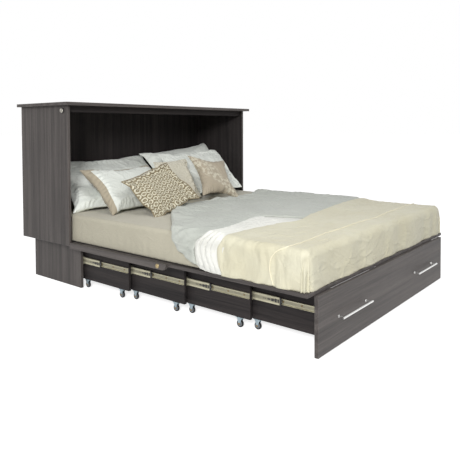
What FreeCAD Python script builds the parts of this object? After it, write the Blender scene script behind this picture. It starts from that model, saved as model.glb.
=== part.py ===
"""Cabinet bed, open and made up: a cabinet whose drawer base telescopes out under a fold-down deck.

Millimetres. Z is up and the floor is Z = 0, +X is the right-hand side seen from the foot, and the foot
points to -Y. The origin is under the middle of the whole bed. Distances called reach are measured from
the cabinet's front edge towards the foot.
"""
import FreeCAD, Part
import math
import os

V = FreeCAD.Vector

# ---------------------------------------------------------------- driving dimensions
# cabinet
cabinet_width = 1600.0          # outside the two side panels
cabinet_height = 1078.0
cabinet_depth = 495.0           # front edge of the side panels to the back
board = 16.0                    # laminated board
top_thickness = 18.0
top_side_overhang = 30.0
top_front_overhang = 38.0
back_thickness = 6.0
back_groove = 6.0               # how deep the back panel sits in the side panels
top_rail_height = 38.0
top_rail_setback = 22.0
edge_chamfer = 0.8
overrun = 1.0                   # cutting shapes run this far past the face they cut
turned_sides = 32               # faces round a small turned piece
pin_sides = 12                  # faces round a pin, an axle or a screw hole

# deck
deck_height = 276.0             # top of the cabinet floor, the folding panel and the leaf
side_drop = 4.0                 # the cabinet sides reach this far below the floor board
floor_setback = 20.0            # front edge of the floor board behind the cabinet's front edge

# folding front panel and leaf
rail_width = 16.0
rail_depth = 32.0
rail_end_radius = 28.0
panel_top_gap = 7.0             # raised panel to the underside of the cabinet top
panel_rear_gap = 4.0
panel_rear_ease = 4.0           # rounding that lets the panel turn clear of the base
fold_axis_reach = 9.0
closed_face_gap = 1.0           # raised panel to the front edges of the cabinet sides
leaf_joint_gap = 2.0
leaf_side_gap = 1.5             # folded leaf to the cabinet sides
leaf_over_foot = 1.0            # leaf's end over the foot panel
leaf_lift = 0.25                # leaf hinge axis above the deck

# telescoping base
section_count = 4
section_travel = 391.0
plinth_inset = 71.0             # plinth side behind the cabinet side
plinth_proud = 8.0              # plinth front ahead of the cabinet's front edge
plinth_back_inset = 15.0
slide_gap = 13.0                # room for one ball-bearing slide
section_bottom = 48.0
section_top_clearance = 0.5
nest_clearance = 2.0            # between the rear boards of nested sections
foot_panel_thickness = 18.0
foot_panel_bottom = 8.0

# ball-bearing slides
slide_centre_height = 160.0
slide_front_inset = 2.0
slide_sheet = 1.2
slide_lip = 0.9
outer_length = 398.0
middle_length = 350.0
inner_length = 392.0
outer_member_height = 45.0
middle_member_height = 35.4
inner_member_height = 25.8
outer_lip_gap = 3.6             # outer member's lips to the section inside it
middle_lip_gap = 2.6
inner_lip_gap = 5.4             # inner member's edges to the wider box
middle_web_gap = 0.8
middle_front_inset = 45.0       # with the slide shut, behind the front of the wider box
bumper_length = 9.0
bumper_gap = 1.4                # end stop to the section inside it
cage_length = 90.0
cage_inset = 8.0                # cages behind the front of the member that they run in
cage_play = 0.3
screw_slot_length = 8.0
screw_slot_height = 4.4
outer_slots = (60.0, 200.0, 340.0)          # slots behind the front end of their member
middle_slots = (22.0, 34.0, 330.0)
inner_slots = (32.0, 128.0, 224.0, 328.0)

# casters
wheel_diameter = 36.0
wheel_width = 12.0
axle_radius = 2.5
axle_clearance = 0.05
fork_gap = 1.0
fork_sheet = 2.0
fork_plate_length = 46.0
cheek_top_half = 17.0
cheek_foot_half = 6.0
front_caster_inset = 64.0       # behind the front end of its own section
rear_caster_lead = 18.0         # ahead of the front end of the box around it

# fold hinges
fold_hinge_inset = 144.0        # outer hinges to the cabinet's inner face
fold_pin_radius = 4.0
fold_pin_length = 46.0
fold_eye_radius = 7.0
fold_eye_thickness = 8.0
fold_notch_gap = 1.0
running_clearance = 0.05
bracket_plate_width = 44.0
bracket_plate_thickness = 3.0

# leaf hinges
leaf_hinge_inset = 222.5        # outer hinges to the leaf's sides
leaf_hinge_length = 75.0
leaf_plate_width = 24.0
leaf_plate_thickness = 1.8
leaf_knuckle_radius = 2.6
leaf_knuckle_count = 2
leaf_knuckle_sides = 20
knuckle_gap = 0.4
leaf_plate_seat = 0.05

# pulls, studs and catches
pull_span = 256.0
pull_bar_length = 286.0
pull_bar_radius = 5.0
pull_bar_sides = 24
pull_post_radius = 4.5
pull_projection = 32.0
pull_inset = 299.0              # middle of a pull to the foot panel's side
stud_radius = 11.0
stud_height = 5.0
stud_from_end = 60.0
catch_inset = 50.0              # behind the cabinet's front edge
catch_drop = 47.0               # below the top of the cabinet
catch_plate_radius = 17.0
catch_plate_thickness = 2.5
catch_knob_radius = 12.5
catch_knob_height = 6.0
catch_knob_taper = 1.5
catch_shaft_radius = 4.0
catch_nut_width = 14.4
catch_nut_height = 3.6

# bedding
mattress_thickness = 152.0
mattress_corner_radius = 40.0
mattress_edge_radius = 22.0
mattress_head_gap = 18.0
mattress_foot_gap = 12.0        # mattress to the end of the leaf
mattress_side_gap = 22.0        # mattress to the cabinet sides
mattress_relief = 2.0           # groove underneath, each way past the leaf's knuckles
soft_gap = 0.4                  # soft pieces to what they lie on
duvet_thickness = 21.0
coverlet_thickness = 13.0
cover_edge_radius = 34.0
cover_meeting_reach = 1130.0
cover_side_gap = 0.5            # covers to the leaf's edge
fold_depth = 6.0                # how far the hanging folds swell
duvet_left_folds = 2
duvet_right_folds = 8
coverlet_folds = 5
turn_left_reach = 960.0         # the duvet's turned-back edge in plan, from left to right
turn_left_bow = (-640.0, 640.0)             # x, reach
turn_corner = (-430.0, 470.0)
turn_right_bow = (-60.0, 300.0)
turn_crest = (140.0, 300.0)
turn_hollow = (360.0, 352.0)                # where a cushion stands against it
turn_right_reach = 190.0
pillow_seam = 2.0               # half the thickness left at a cushion's seam
pillow_waist = 0.055            # how far the sides draw in, as a share of the cushion's height

# width, height, thickness, (x, distance ahead of the back panel), lean, turn, spin
pillows = {
    "pillow_back_left": (680.0, 440.0, 100.0, (-225.0, 181.0), 48.5, 1.0, 2.0),
    "pillow_back_right": (690.0, 440.0, 110.0, (405.0, 259.0), 41.5, -6.0, 7.0),
    "pillow_side_left": (500.0, 400.0, 76.0, (-434.0, 368.0), 58.5, -16.0, 0.0),
    "pillow_front_left": (550.0, 392.0, 120.0, (-394.0, 546.0), 49.0, 1.0, 0.0),
    "pillow_front_right": (650.0, 422.0, 110.0, (372.0, 436.0), 40.5, -2.0, 2.5),
    "cushion_plain": (325.0, 308.0, 60.0, (14.0, 538.0), 26.0, -3.0, 3.0),
    "cushion_patterned": (402.0, 374.0, 102.0, (-388.0, 806.0), 53.0, -12.0, 18.0),
    "cushion_floral": (335.0, 357.0, 90.0, (236.0, 675.0), 41.0, -4.0, -11.5),
}

# ---------------------------------------------------------------- derived places
overall_length = (cabinet_depth + plinth_proud + section_count * section_travel
                  + foot_panel_thickness + pull_projection)
back_y = overall_length / 2
front_y = back_y - cabinet_depth
half_cabinet = cabinet_width / 2
inner_half = half_cabinet - board
top_underside = cabinet_height - top_thickness
board_underside = deck_height - board
plinth_half = half_cabinet - plinth_inset
plinth_front_y = front_y - plinth_proud
plinth_back_y = back_y - plinth_back_inset
panel_length = (top_underside - panel_top_gap - deck_height
                + 2 * fold_axis_reach - closed_face_gap - panel_rear_gap)
panel_end_reach = panel_rear_gap + panel_length
leaf_start_reach = panel_end_reach + leaf_joint_gap
leaf_end_reach = plinth_proud + section_count * section_travel + leaf_over_foot
leaf_half = inner_half - leaf_side_gap
fold_axis = V(0, front_y - fold_axis_reach, deck_height + closed_face_gap - fold_axis_reach)
leaf_axis = V(0, front_y - panel_end_reach - leaf_joint_gap / 2, deck_height + leaf_lift)
foot_rear_y = plinth_front_y - section_count * section_travel
fold_notch_reach = fold_axis_reach + fold_eye_radius + fold_notch_gap
mattress_bottom = deck_height + soft_gap
mattress_top = mattress_bottom + mattress_thickness
mattress_head_y = back_y - back_thickness - mattress_head_gap
mattress_foot_y = front_y - leaf_end_reach + mattress_foot_gap
mattress_half = inner_half - mattress_side_gap
cover_half = leaf_half - cover_side_gap
fold_hinge_places = (fold_hinge_inset - inner_half, 0.0, inner_half - fold_hinge_inset)
leaf_hinge_places = (leaf_hinge_inset - leaf_half, 0.0, leaf_half - leaf_hinge_inset)
section_top = board_underside - section_top_clearance


def section_outer_half(index):
    """Half the outside width of a section; index 0 is the plinth."""
    return plinth_half - index * (board + slide_gap)


def section_front_y(index):
    """Front end of a section's sides when the bed is open; index 0 is the plinth."""
    return plinth_front_y - index * section_travel


def section_rear_y(index):
    """Back of a section's rear board when the bed is open."""
    closed = plinth_back_y - board - nest_clearance - (index - 1) * (board + nest_clearance)
    return closed - index * section_travel


# ---------------------------------------------------------------- helpers
nodes = {}


def add(name, *solids):
    """Keep one named node made of one or more separate solids."""
    nodes[name] = list(solids)


def box(x0, x1, y0, y1, z0, z1):
    """Block between two opposite corners."""
    low = V(min(x0, x1), min(y0, y1), min(z0, z1))
    return Part.makeBox(abs(x1 - x0), abs(y1 - y0), abs(z1 - z0), low)


def panel(x0, x1, y0, y1, z0, z1):
    """Laminated board with its long edges broken."""
    blank = box(x0, x1, y0, y1, z0, z1)
    return blank.makeChamfer(edge_chamfer, blank.Edges)


def rod(radius, start, end):
    """Round bar from one point to another."""
    return Part.makeCylinder(radius, (end - start).Length, start, end - start)


def pin(radius, start, end, sides=pin_sides):
    """Small round bar with few faces, whose corners lie on the radius."""
    return round_prism(radius, start, end, sides)


def bore(radius, start, end, sides=pin_sides):
    """Cutting shape for a small round hole with few faces, whose flats lie on the radius."""
    along = (end - start).normalize() * overrun
    return round_prism(radius / math.cos(math.pi / sides), start - along, end + along, sides)


def round_prism(radius, start, end, sides):
    """Many-sided bar along X or Z between two points."""
    axis = (end - start).normalize()
    across = V(0, 1, 0) * radius
    turned = [FreeCAD.Rotation(axis, 360.0 * n / sides).multVec(across) for n in range(sides)]
    return prism([start + v for v in turned], end - start)


def prism(points, direction):
    """Straight-sided outline pushed along a direction."""
    outline = Part.makePolygon(points + [points[0]])
    return Part.Face(outline).extrude(direction)


def mirrored(shape):
    """The same piece on the other side of the bed."""
    return shape.mirror(V(0, 0, 0), V(1, 0, 0))


def pair(shape):
    """A piece and its mirror image."""
    return [shape, mirrored(shape)]


# ---------------------------------------------------------------- cabinet
def catch_at(x):
    """Point on the right catch's axis."""
    return V(x, front_y + catch_inset, cabinet_height - catch_drop)


def make_cabinet():
    """Sides, top, back, floor and the rail under the top."""
    side_bottom = board_underside - side_drop
    groove = box(inner_half, inner_half + back_groove, back_y - back_thickness, back_y, 0, top_underside)
    side = panel(inner_half, half_cabinet, front_y, back_y, side_bottom, top_underside)
    side = side.cut([groove, bore(catch_shaft_radius + running_clearance, catch_at(inner_half),
                                  catch_at(half_cabinet))])
    add("cabinet_side_right", side)
    add("cabinet_side_left", mirrored(side))
    add("cabinet_top", panel(-half_cabinet - top_side_overhang, half_cabinet + top_side_overhang,
                             front_y - top_front_overhang, back_y, top_underside, cabinet_height))
    back_half = inner_half + back_groove
    add("cabinet_back", box(-back_half, back_half, back_y - back_thickness, back_y,
                            side_bottom, top_underside))
    add("cabinet_floor", panel(-inner_half, inner_half, front_y + floor_setback,
                               back_y - back_thickness, board_underside, deck_height))
    rail_y = front_y + top_rail_setback
    add("top_front_rail", panel(-inner_half, inner_half, rail_y, rail_y + board,
                                top_underside - top_rail_height, top_underside))


def make_plinth():
    """Narrower base under the cabinet that the sections slide into."""
    inside = plinth_half - board
    side = panel(inside, plinth_half, plinth_front_y, plinth_back_y, 0, board_underside)
    add("plinth_side_right", side)
    add("plinth_side_left", mirrored(side))
    add("plinth_back_board", panel(-inside, inside, plinth_back_y - board, plinth_back_y, 0, board_underside))


def make_catches():
    """Turning catch high on each cabinet side: a dark plate, and a knob on a shaft with a nut inside."""
    face = half_cabinet + catch_plate_thickness
    plate = round_prism(catch_plate_radius, catch_at(half_cabinet), catch_at(face), turned_sides)
    hole = bore(catch_shaft_radius + running_clearance, catch_at(half_cabinet), catch_at(face))
    add("catch_plates", *pair(plate.cut(hole)))
    seat = face + soft_gap
    end = seat + catch_knob_height
    knob = round_prism(catch_knob_radius, catch_at(seat), catch_at(end), turned_sides)
    rim = [e for e in knob.Edges if abs(e.CenterOfMass.x - end) < 1e-6]
    nut_face = inner_half - soft_gap
    nut_back = catch_at(nut_face - catch_nut_height)
    nut = round_prism(catch_nut_width / math.sqrt(3), nut_back, catch_at(nut_face), 6)
    shaft = pin(catch_shaft_radius, catch_at(nut_face), catch_at(seat))
    right = knob.makeChamfer(catch_knob_taper, rim).fuse([shaft, nut]).removeSplitter()
    add("catch_knob_right", right)
    add("catch_knob_left", mirrored(right))


# ---------------------------------------------------------------- folding panel and leaf
def eased_section(x0, x1, end_y, rear_y):
    """Block as tall as the deck board, with its lower rear edge well rounded."""
    block = box(x0, x1, end_y, rear_y, board_underside, deck_height)
    lower_rear = [e for e in block.Edges
                  if abs(e.CenterOfMass.z - board_underside) < 1e-6 and abs(e.CenterOfMass.y - rear_y) < 1e-6]
    return block.makeFillet(panel_rear_ease, lower_rear)


def make_front_panel():
    """Board that folds down from the cabinet's front, with a deep rail along each side."""
    rear_y = front_y - panel_rear_gap
    end_y = front_y - panel_end_reach
    deck = panel(-inner_half, inner_half, end_y, rear_y, board_underside, deck_height)
    deck = deck.common(eased_section(-inner_half, inner_half, end_y, rear_y))
    half_notch = fold_eye_thickness / 2 + fold_notch_gap
    half_pin = V(fold_pin_length / 2, 0, 0)
    for x in fold_hinge_places:
        middle = fold_axis + V(x, 0, 0)
        notch = box(x - half_notch, x + half_notch, front_y - fold_notch_reach, front_y,
                    board_underside - overrun, deck_height + overrun)
        deck = deck.cut([notch, bore(fold_pin_radius, middle - half_pin, middle + half_pin)])
    for recess in leaf_plate_recesses(1):
        deck = deck.cut(recess)
    add("front_panel_board", deck)
    rail = box(inner_half, inner_half + rail_width, end_y, rear_y, deck_height - rail_depth, deck_height)
    lower_ends = [e for e in rail.Edges
                  if abs(e.CenterOfMass.z - (deck_height - rail_depth)) < 1e-6
                  and abs(e.CenterOfMass.y - end_y) < 1e-6]
    rail = rail.makeFillet(rail_end_radius, lower_ends)
    upper_rear = [e for e in rail.Edges
                  if abs(e.CenterOfMass.z - deck_height) < 1e-6 and abs(e.CenterOfMass.y - rear_y) < 1e-6]
    rail = rail.makeFillet(panel_rear_gap, upper_rear)
    add("front_panel_rails", *pair(rail))
    stud_y = end_y + stud_from_end
    stud_z = deck_height - rail_depth / 2
    seat = V(inner_half + rail_width, stud_y, stud_z)
    end = seat + V(stud_height, 0, 0)
    stud = round_prism(stud_radius, seat, end, turned_sides)
    rim = [e for e in stud.Edges if abs(e.CenterOfMass.x - end.x) < 1e-6]
    add("panel_studs", *pair(stud.makeChamfer(stud_height / 3, rim)))


def make_fold_hinges():
    """Eyes on the cabinet floor's front edge and the pins that carry the folding panel."""
    brackets = []
    pins = []
    floor_y = front_y + floor_setback
    low = fold_axis.z - fold_eye_radius
    high = fold_axis.z + fold_eye_radius
    half_plate = bracket_plate_width / 2
    half_eye = fold_eye_thickness / 2
    half_pin = V(fold_pin_length / 2, 0, 0)
    for x in fold_hinge_places:
        middle = fold_axis + V(x, 0, 0)
        sides = [middle - V(half_eye, 0, 0), middle + V(half_eye, 0, 0)]
        plate = box(x - half_plate, x + half_plate, floor_y - bracket_plate_thickness, floor_y, low, high)
        arm = box(x - half_eye, x + half_eye, fold_axis.y, floor_y, low, high)
        eye = round_prism(fold_eye_radius, *sides, turned_sides)
        hole = bore(fold_pin_radius + running_clearance, *sides)
        brackets.append(plate.fuse([arm, eye]).cut(hole).removeSplitter())
        pins.append(pin(fold_pin_radius, middle - half_pin, middle + half_pin))
    add("fold_hinge_brackets", *brackets)
    add("fold_hinge_pins", *pins)


def leaf_plate_recesses(side):
    """Shallow seats for the leaf hinges; side 1 is in the folding panel and -1 in the leaf."""
    recesses = []
    edge_y = leaf_axis.y
    far_y = edge_y + side * (leaf_plate_width + leaf_plate_seat)
    half = leaf_hinge_length / 2 + leaf_plate_seat
    well = leaf_knuckle_radius + leaf_joint_gap / 2
    for x in leaf_hinge_places:
        recesses.append(box(x - half, x + half, edge_y, far_y,
                            deck_height - leaf_plate_thickness, deck_height + overrun))
        recesses.append(box(x - half, x + half, edge_y, edge_y + side * well,
                            deck_height - leaf_knuckle_radius - knuckle_gap, deck_height + overrun))
    return recesses


def leaf_hinge_half(x, side):
    """One half of a small butt hinge: its plate and its share of the knuckles, with the pin on side 1."""
    pitch = leaf_hinge_length / leaf_knuckle_count
    first = 0 if side > 0 else 1
    start = leaf_axis + V(x - leaf_hinge_length / 2, 0, 0)
    end = start + V(leaf_hinge_length, 0, 0)
    far_y = leaf_axis.y + side * leaf_plate_width
    near_y = leaf_axis.y + side * (leaf_knuckle_radius + knuckle_gap)
    low = deck_height - leaf_plate_thickness
    piece = box(start.x, end.x, near_y, far_y, low, deck_height)
    for number in range(first, leaf_knuckle_count, 2):
        from_end = start + V(number * pitch + knuckle_gap / 2, 0, 0)
        to_end = from_end + V(pitch - knuckle_gap, 0, 0)
        knuckle = round_prism(leaf_knuckle_radius, from_end, to_end, leaf_knuckle_sides)
        tongue = box(from_end.x, to_end.x, leaf_axis.y, near_y, low, deck_height)
        piece = piece.fuse([knuckle, tongue])
    piece = piece.removeSplitter()
    pin_radius = leaf_knuckle_radius / 2
    if side < 0:
        return piece.cut(bore(pin_radius + running_clearance, start, end))
    return piece.fuse(pin(pin_radius, start, end)).removeSplitter()


def make_leaf():
    """Second deck board, which folds back over the front panel."""
    leaf = panel(-leaf_half, leaf_half, front_y - leaf_end_reach, front_y - leaf_start_reach,
                 board_underside, deck_height)
    for recess in leaf_plate_recesses(-1):
        leaf = leaf.cut(recess)
    add("leaf_board", leaf)
    add("leaf_hinge_panel_plates", *[leaf_hinge_half(x, 1) for x in leaf_hinge_places])
    add("leaf_hinge_leaf_plates", *[leaf_hinge_half(x, -1) for x in leaf_hinge_places])


# ---------------------------------------------------------------- ball-bearing slides
def channel(web_x, toward, depth, height, front, length, lip):
    """Rolled channel: an upright web, two flanges and a short lip on each flange."""
    low = slide_centre_height - height / 2
    inside_x = web_x + toward * slide_sheet
    flange_x = web_x + toward * depth
    lip_x = flange_x - toward * slide_sheet
    lower = [(web_x, low), (flange_x, low), (flange_x, low + slide_sheet + lip),
             (lip_x, low + slide_sheet + lip), (lip_x, low + slide_sheet), (inside_x, low + slide_sheet)]
    upper = [(x, 2 * slide_centre_height - z) for x, z in reversed(lower)]
    return prism([V(x, front, z) for x, z in lower + upper], V(0, length, 0))


def slotted(shape, web_x, toward, places):
    """Short screw slots through a member's web."""
    low = slide_centre_height - screw_slot_height / 2
    for y in places:
        front = y - screw_slot_length / 2
        shape = shape.cut(box(web_x - toward * overrun, web_x + toward * (slide_sheet + overrun),
                              front, front + screw_slot_length, low, low + screw_slot_height))
    return shape


def cage_pair(web_x, lip_x, front, outside, inside):
    """Upper and lower ball cage between the flanges of two members, with play above and below."""
    low = inside / 2 + cage_play
    high = outside / 2 - slide_sheet - cage_play
    return [box(web_x, lip_x, front, front + cage_length, slide_centre_height + up * low,
                slide_centre_height + up * high) for up in (-1, 1)]


def make_slide(index):
    """One pair of full-extension slides between a box and the section inside it.

    The outer member is on the wider box and the inner member on the section. The middle member,
    with its two ball cages and its end stop, runs half as far as the section.
    """
    wall = section_outer_half(index - 1) - board
    face = wall - slide_gap
    web = wall - slide_sheet - middle_web_gap
    outer_depth = slide_gap - outer_lip_gap
    middle_depth = web - face - middle_lip_gap
    inner_depth = slide_gap - inner_lip_gap
    outer_front = section_front_y(index - 1) + slide_front_inset
    inner_front = section_front_y(index) + slide_front_inset
    middle_front = section_front_y(index - 1) + middle_front_inset - section_travel / 2
    outer = channel(wall, -1, outer_depth, outer_member_height, outer_front, outer_length, slide_lip)
    outer = slotted(outer, wall, -1, [outer_front + y for y in outer_slots])
    inner = channel(face, 1, inner_depth, inner_member_height, inner_front, inner_length, 0)
    inner = slotted(inner, face, 1, [inner_front + y for y in inner_slots])
    middle = channel(web, -1, middle_depth, middle_member_height, middle_front, middle_length, slide_lip)
    middle = slotted(middle, web, -1, [middle_front + y for y in middle_slots])
    half_stop = middle_member_height / 2
    half_window = inner_member_height / 2 + cage_play
    stop = box(web, face + bumper_gap, middle_front - bumper_length, middle_front,
               slide_centre_height - half_stop, slide_centre_height + half_stop)
    stop = stop.cut(box(face, face + inner_depth + cage_play,
                        middle_front - bumper_length - overrun, middle_front + overrun,
                        slide_centre_height - half_window, slide_centre_height + half_window))
    cages = cage_pair(web - cage_play, wall - outer_depth + slide_sheet + cage_play,
                      outer_front + cage_inset, outer_member_height, middle_member_height)
    cages += cage_pair(web - slide_sheet - cage_play, web - middle_depth + slide_sheet + cage_play,
                       middle_front + cage_inset, middle_member_height, inner_member_height)
    add("slide_%d_outer_members" % index, *pair(outer))
    add("slide_%d_inner_members" % index, *pair(inner))
    middle_solids = [side for solid in [middle, stop] + cages for side in pair(solid)]
    add("slide_%d_middle_members" % index, *middle_solids)


# ---------------------------------------------------------------- telescoping sections
def make_caster(x, y):
    """Fixed caster: a folded fork with tapered cheeks and an axle, and its wheel."""
    centre = wheel_diameter / 2
    half_wheel = V(wheel_width / 2, 0, 0)
    inside = wheel_width / 2 + fork_gap
    reach = inside + fork_sheet
    plate = box(x - reach, x + reach, y - fork_plate_length / 2, y + fork_plate_length / 2,
                section_bottom - fork_sheet, section_bottom)
    outline = [(-cheek_top_half, section_bottom), (cheek_top_half, section_bottom),
               (cheek_foot_half, centre - cheek_foot_half / 2), (0, centre - cheek_foot_half),
               (-cheek_foot_half, centre - cheek_foot_half / 2)]
    cheeks = [prism([V(x + side * inside, y + along, z) for along, z in outline], V(side * fork_sheet, 0, 0))
              for side in (-1, 1)]
    hub = V(x, y, centre)
    half_axle = V(reach, 0, 0)
    fork = plate.fuse(cheeks + [pin(axle_radius, hub - half_axle, hub + half_axle)]).removeSplitter()
    wheel = rod(centre, hub - half_wheel, hub + half_wheel)
    return fork, wheel.cut(bore(axle_radius + axle_clearance, hub - half_wheel, hub + half_wheel))


def make_section(index):
    """Two sides and a rear board, with casters under the sides."""
    half = section_outer_half(index)
    front = section_front_y(index)
    rear = section_rear_y(index)
    side = panel(half - board, half, front, rear, section_bottom, section_top)
    rear_board = panel(-half + board, half - board, rear - board, rear, section_bottom, section_top)
    add("section_%d_box" % index, *pair(side), rear_board)
    make_slide(index)
    x = half - board / 2
    places = {"rear": section_front_y(index - 1) - rear_caster_lead}
    if index < section_count:
        places["front"] = front + front_caster_inset
    forks = []
    for name, y in places.items():
        fork, wheel = make_caster(x, y)
        forks += pair(fork)
        add("section_%d_%s_wheels" % (index, name), *pair(wheel))
    add("section_%d_caster_forks" % index, *forks)


def make_foot():
    """Drawer front across the last section, with its two bar pulls."""
    front = foot_rear_y - foot_panel_thickness
    middle = (foot_panel_bottom + section_top) / 2
    add("foot_panel", panel(-plinth_half, plinth_half, front, foot_rear_y, foot_panel_bottom, section_top))
    pull_x = plinth_half - pull_inset
    bar_y = front - pull_projection + pull_bar_radius
    centre = V(pull_x, bar_y, middle)
    half_bar = V(pull_bar_length / 2, 0, 0)
    bar = round_prism(pull_bar_radius, centre - half_bar, centre + half_bar, pull_bar_sides)
    posts = [pull_post(x, front, bar_y, middle) for x in (pull_x - pull_span / 2, pull_x + pull_span / 2)]
    add("bar_pulls", *pair(bar.fuse(posts).removeSplitter()))


def pull_post(x, front, bar_y, z):
    """Round post from the foot panel to the middle of the bar."""
    lying = round_prism(pull_post_radius, V(0, 0, 0), V(0, 0, front - bar_y), pull_bar_sides)
    lying.rotate(V(0, 0, 0), V(1, 0, 0), -90)
    return lying.translate(V(x, bar_y, z))


# ---------------------------------------------------------------- bedding
def make_mattress():
    """Fabric-covered foam mattress, relieved underneath where it settles round the leaf hinges."""
    block = box(-mattress_half, mattress_half, mattress_foot_y, mattress_head_y,
                mattress_bottom, mattress_top)
    block = block.makeFillet(mattress_corner_radius, [e for e in block.Edges if e.BoundBox.ZLength > 1])
    rims = [e for e in block.Edges if abs(e.CenterOfMass.z - mattress_top) < 1e-6]
    block = block.makeFillet(mattress_edge_radius, rims)
    room = leaf_knuckle_radius + mattress_relief
    groove = box(-mattress_half - overrun, mattress_half + overrun, leaf_axis.y - room, leaf_axis.y + room,
                 mattress_bottom - overrun, leaf_axis.z + leaf_knuckle_radius + soft_gap)
    add("mattress", block.cut(groove))


def swelling(start, end, count, depth):
    """Row of shallow arcs from one point to another, swelling to the left of the way they run."""
    step = (end - start) / count
    out = V(-step.y, step.x, 0).normalize() * depth
    return [Part.Arc(start + step * n, start + step * (n + 0.5) + out, start + step * (n + 1)).toShape()
            for n in range(count)]


def draped(outline, thickness, foot_drop):
    """Cover over the mattress: its plan outline pushed up, rounded along the top edges and hollowed."""
    low = deck_height + soft_gap
    high = mattress_top + soft_gap + thickness
    cloth = Part.Face(Part.Wire(outline)).extrude(V(0, 0, high - low)).translate(V(0, 0, low))
    foot_y = mattress_foot_y - soft_gap - coverlet_thickness
    envelope = box(-cover_half, cover_half, foot_y, mattress_head_y, low - overrun, high)
    rims = [e for e in envelope.Edges if abs(e.CenterOfMass.z - high) < 1e-6]
    cloth = cloth.common(envelope.makeFillet(cover_edge_radius, rims))
    ceiling = mattress_top + soft_gap
    room_half = mattress_half + soft_gap
    room_foot_y = mattress_foot_y - soft_gap if foot_drop else mattress_foot_y - cover_edge_radius
    room = box(-room_half, room_half, room_foot_y, mattress_head_y, low - overrun, ceiling)
    rims = [e for e in room.Edges if abs(e.CenterOfMass.z - ceiling) < 1e-6]
    return cloth.cut(room.makeFillet(mattress_edge_radius - soft_gap, rims))


def make_covers():
    """Duvet turned back askew at the head end, and the coverlet over the foot."""
    half = cover_half - fold_depth - soft_gap
    meet_y = front_y - cover_meeting_reach
    foot_y = mattress_foot_y - coverlet_thickness
    left_edge = V(-half, front_y - turn_left_reach, 0)
    left_bow = V(turn_left_bow[0], front_y - turn_left_bow[1], 0)
    corner = V(turn_corner[0], front_y - turn_corner[1], 0)
    right_bow = V(turn_right_bow[0], front_y - turn_right_bow[1], 0)
    crest = V(turn_crest[0], front_y - turn_crest[1], 0)
    hollow = V(turn_hollow[0], front_y - turn_hollow[1], 0)
    right_edge = V(half, front_y - turn_right_reach, 0)
    low_left = V(-half, meet_y + soft_gap, 0)
    low_right = V(half, meet_y + soft_gap, 0)
    outline = [Part.Arc(left_edge, left_bow, corner).toShape(),
               Part.Arc(corner, right_bow, crest).toShape(),
               Part.Arc(crest, hollow, right_edge).toShape()]
    outline += reversed(swelling(low_right, right_edge, duvet_right_folds, -fold_depth))
    outline += [Part.LineSegment(low_right, low_left).toShape()]
    outline += swelling(low_left, left_edge, duvet_left_folds, fold_depth)
    add("duvet", draped(outline, duvet_thickness, False))
    meet_left = V(-half, meet_y - soft_gap, 0)
    meet_right = V(half, meet_y - soft_gap, 0)
    foot_left = V(-half, foot_y, 0)
    foot_right = V(half, foot_y, 0)
    outline = [Part.LineSegment(meet_left, meet_right).toShape()]
    outline += reversed(swelling(foot_right, meet_right, coverlet_folds, -fold_depth))
    outline += [Part.LineSegment(foot_right, foot_left).toShape()]
    outline += swelling(foot_left, meet_left, coverlet_folds, fold_depth)
    add("coverlet", draped(outline, coverlet_thickness, True))


def lens_prism(span, length, thickness, seam):
    """Block with a crowned top and bottom: an arc each way across its span, thin at both seams."""
    low, high = V(-span / 2, 0, -seam), V(-span / 2, 0, seam)
    outline = [Part.LineSegment(low, high).toShape(),
               Part.Arc(high, V(0, 0, thickness / 2), V(span / 2, 0, seam)).toShape(),
               Part.LineSegment(V(span / 2, 0, seam), V(span / 2, 0, -seam)).toShape(),
               Part.Arc(V(span / 2, 0, -seam), V(0, 0, -thickness / 2), low).toShape()]
    block = Part.Face(Part.Wire(outline)).extrude(V(0, length, 0))
    return block.translate(V(0, -length / 2, 0))


def crowned_cushion(width, height, thickness, waist, seam):
    """Stuffed cushion lying flat: crowned both ways, with its four sides drawn in between the corners."""
    across = lens_prism(width, height, thickness, seam)
    along = lens_prism(height, width, thickness, seam)
    along.rotate(V(0, 0, 0), V(0, 0, 1), 90)
    x, y = width / 2, height / 2
    corners = [V(-x, -y, -thickness), V(x, -y, -thickness), V(x, y, -thickness), V(-x, y, -thickness)]
    middles = [V(0, waist - y, -thickness), V(x - waist, 0, -thickness), V(0, y - waist, -thickness),
               V(waist - x, 0, -thickness)]
    sides = [Part.Arc(corners[n], middles[n], corners[(n + 1) % 4]).toShape() for n in range(4)]
    outline = Part.Face(Part.Wire(sides)).extrude(V(0, 0, 2 * thickness))
    return across.common(along).common(outline)


def leaned(shape, centre, lean, turn, spin):
    """Stand a flat cushion up: spin it in its own plane, lean it back from upright, turn it in plan.

    The centre is x and the distance ahead of the back panel, and the lowest point rests on the mattress.
    """
    placed = shape.copy()
    placed.rotate(V(0, 0, 0), V(0, 0, 1), spin)
    placed.rotate(V(0, 0, 0), V(1, 0, 0), 90 - lean)
    placed.rotate(V(0, 0, 0), V(0, 0, 1), turn)
    resting_z = mattress_top + soft_gap - placed.optimalBoundingBox(False, False).ZMin
    placed.translate(V(centre[0], back_y - back_thickness - centre[1], resting_z))
    return placed


def make_pillows():
    """Sleeping pillows and square cushions stacked against the cabinet's back."""
    for name, (width, height, thickness, centre, lean, turn, spin) in pillows.items():
        cushion = crowned_cushion(width, height, thickness, pillow_waist * height, pillow_seam)
        add(name, leaned(cushion, centre, lean, turn, spin))


# ---------------------------------------------------------------- build
def write_nodes():
    """Write one file per node."""
    os.makedirs("parts", exist_ok=True)
    for name, solids in nodes.items():
        for number, solid in enumerate(solids):
            if not solid.isValid() or len(solid.Solids) != 1:
                print("check", name, number, "valid", solid.isValid(), "solids", len(solid.Solids))
        shape = solids[0] if len(solids) == 1 else Part.makeCompound(solids)
        shape.exportStep("parts/%s.step" % name)
    print(len(nodes), "nodes,", sum(len(s) for s in nodes.values()), "solids")


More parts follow.
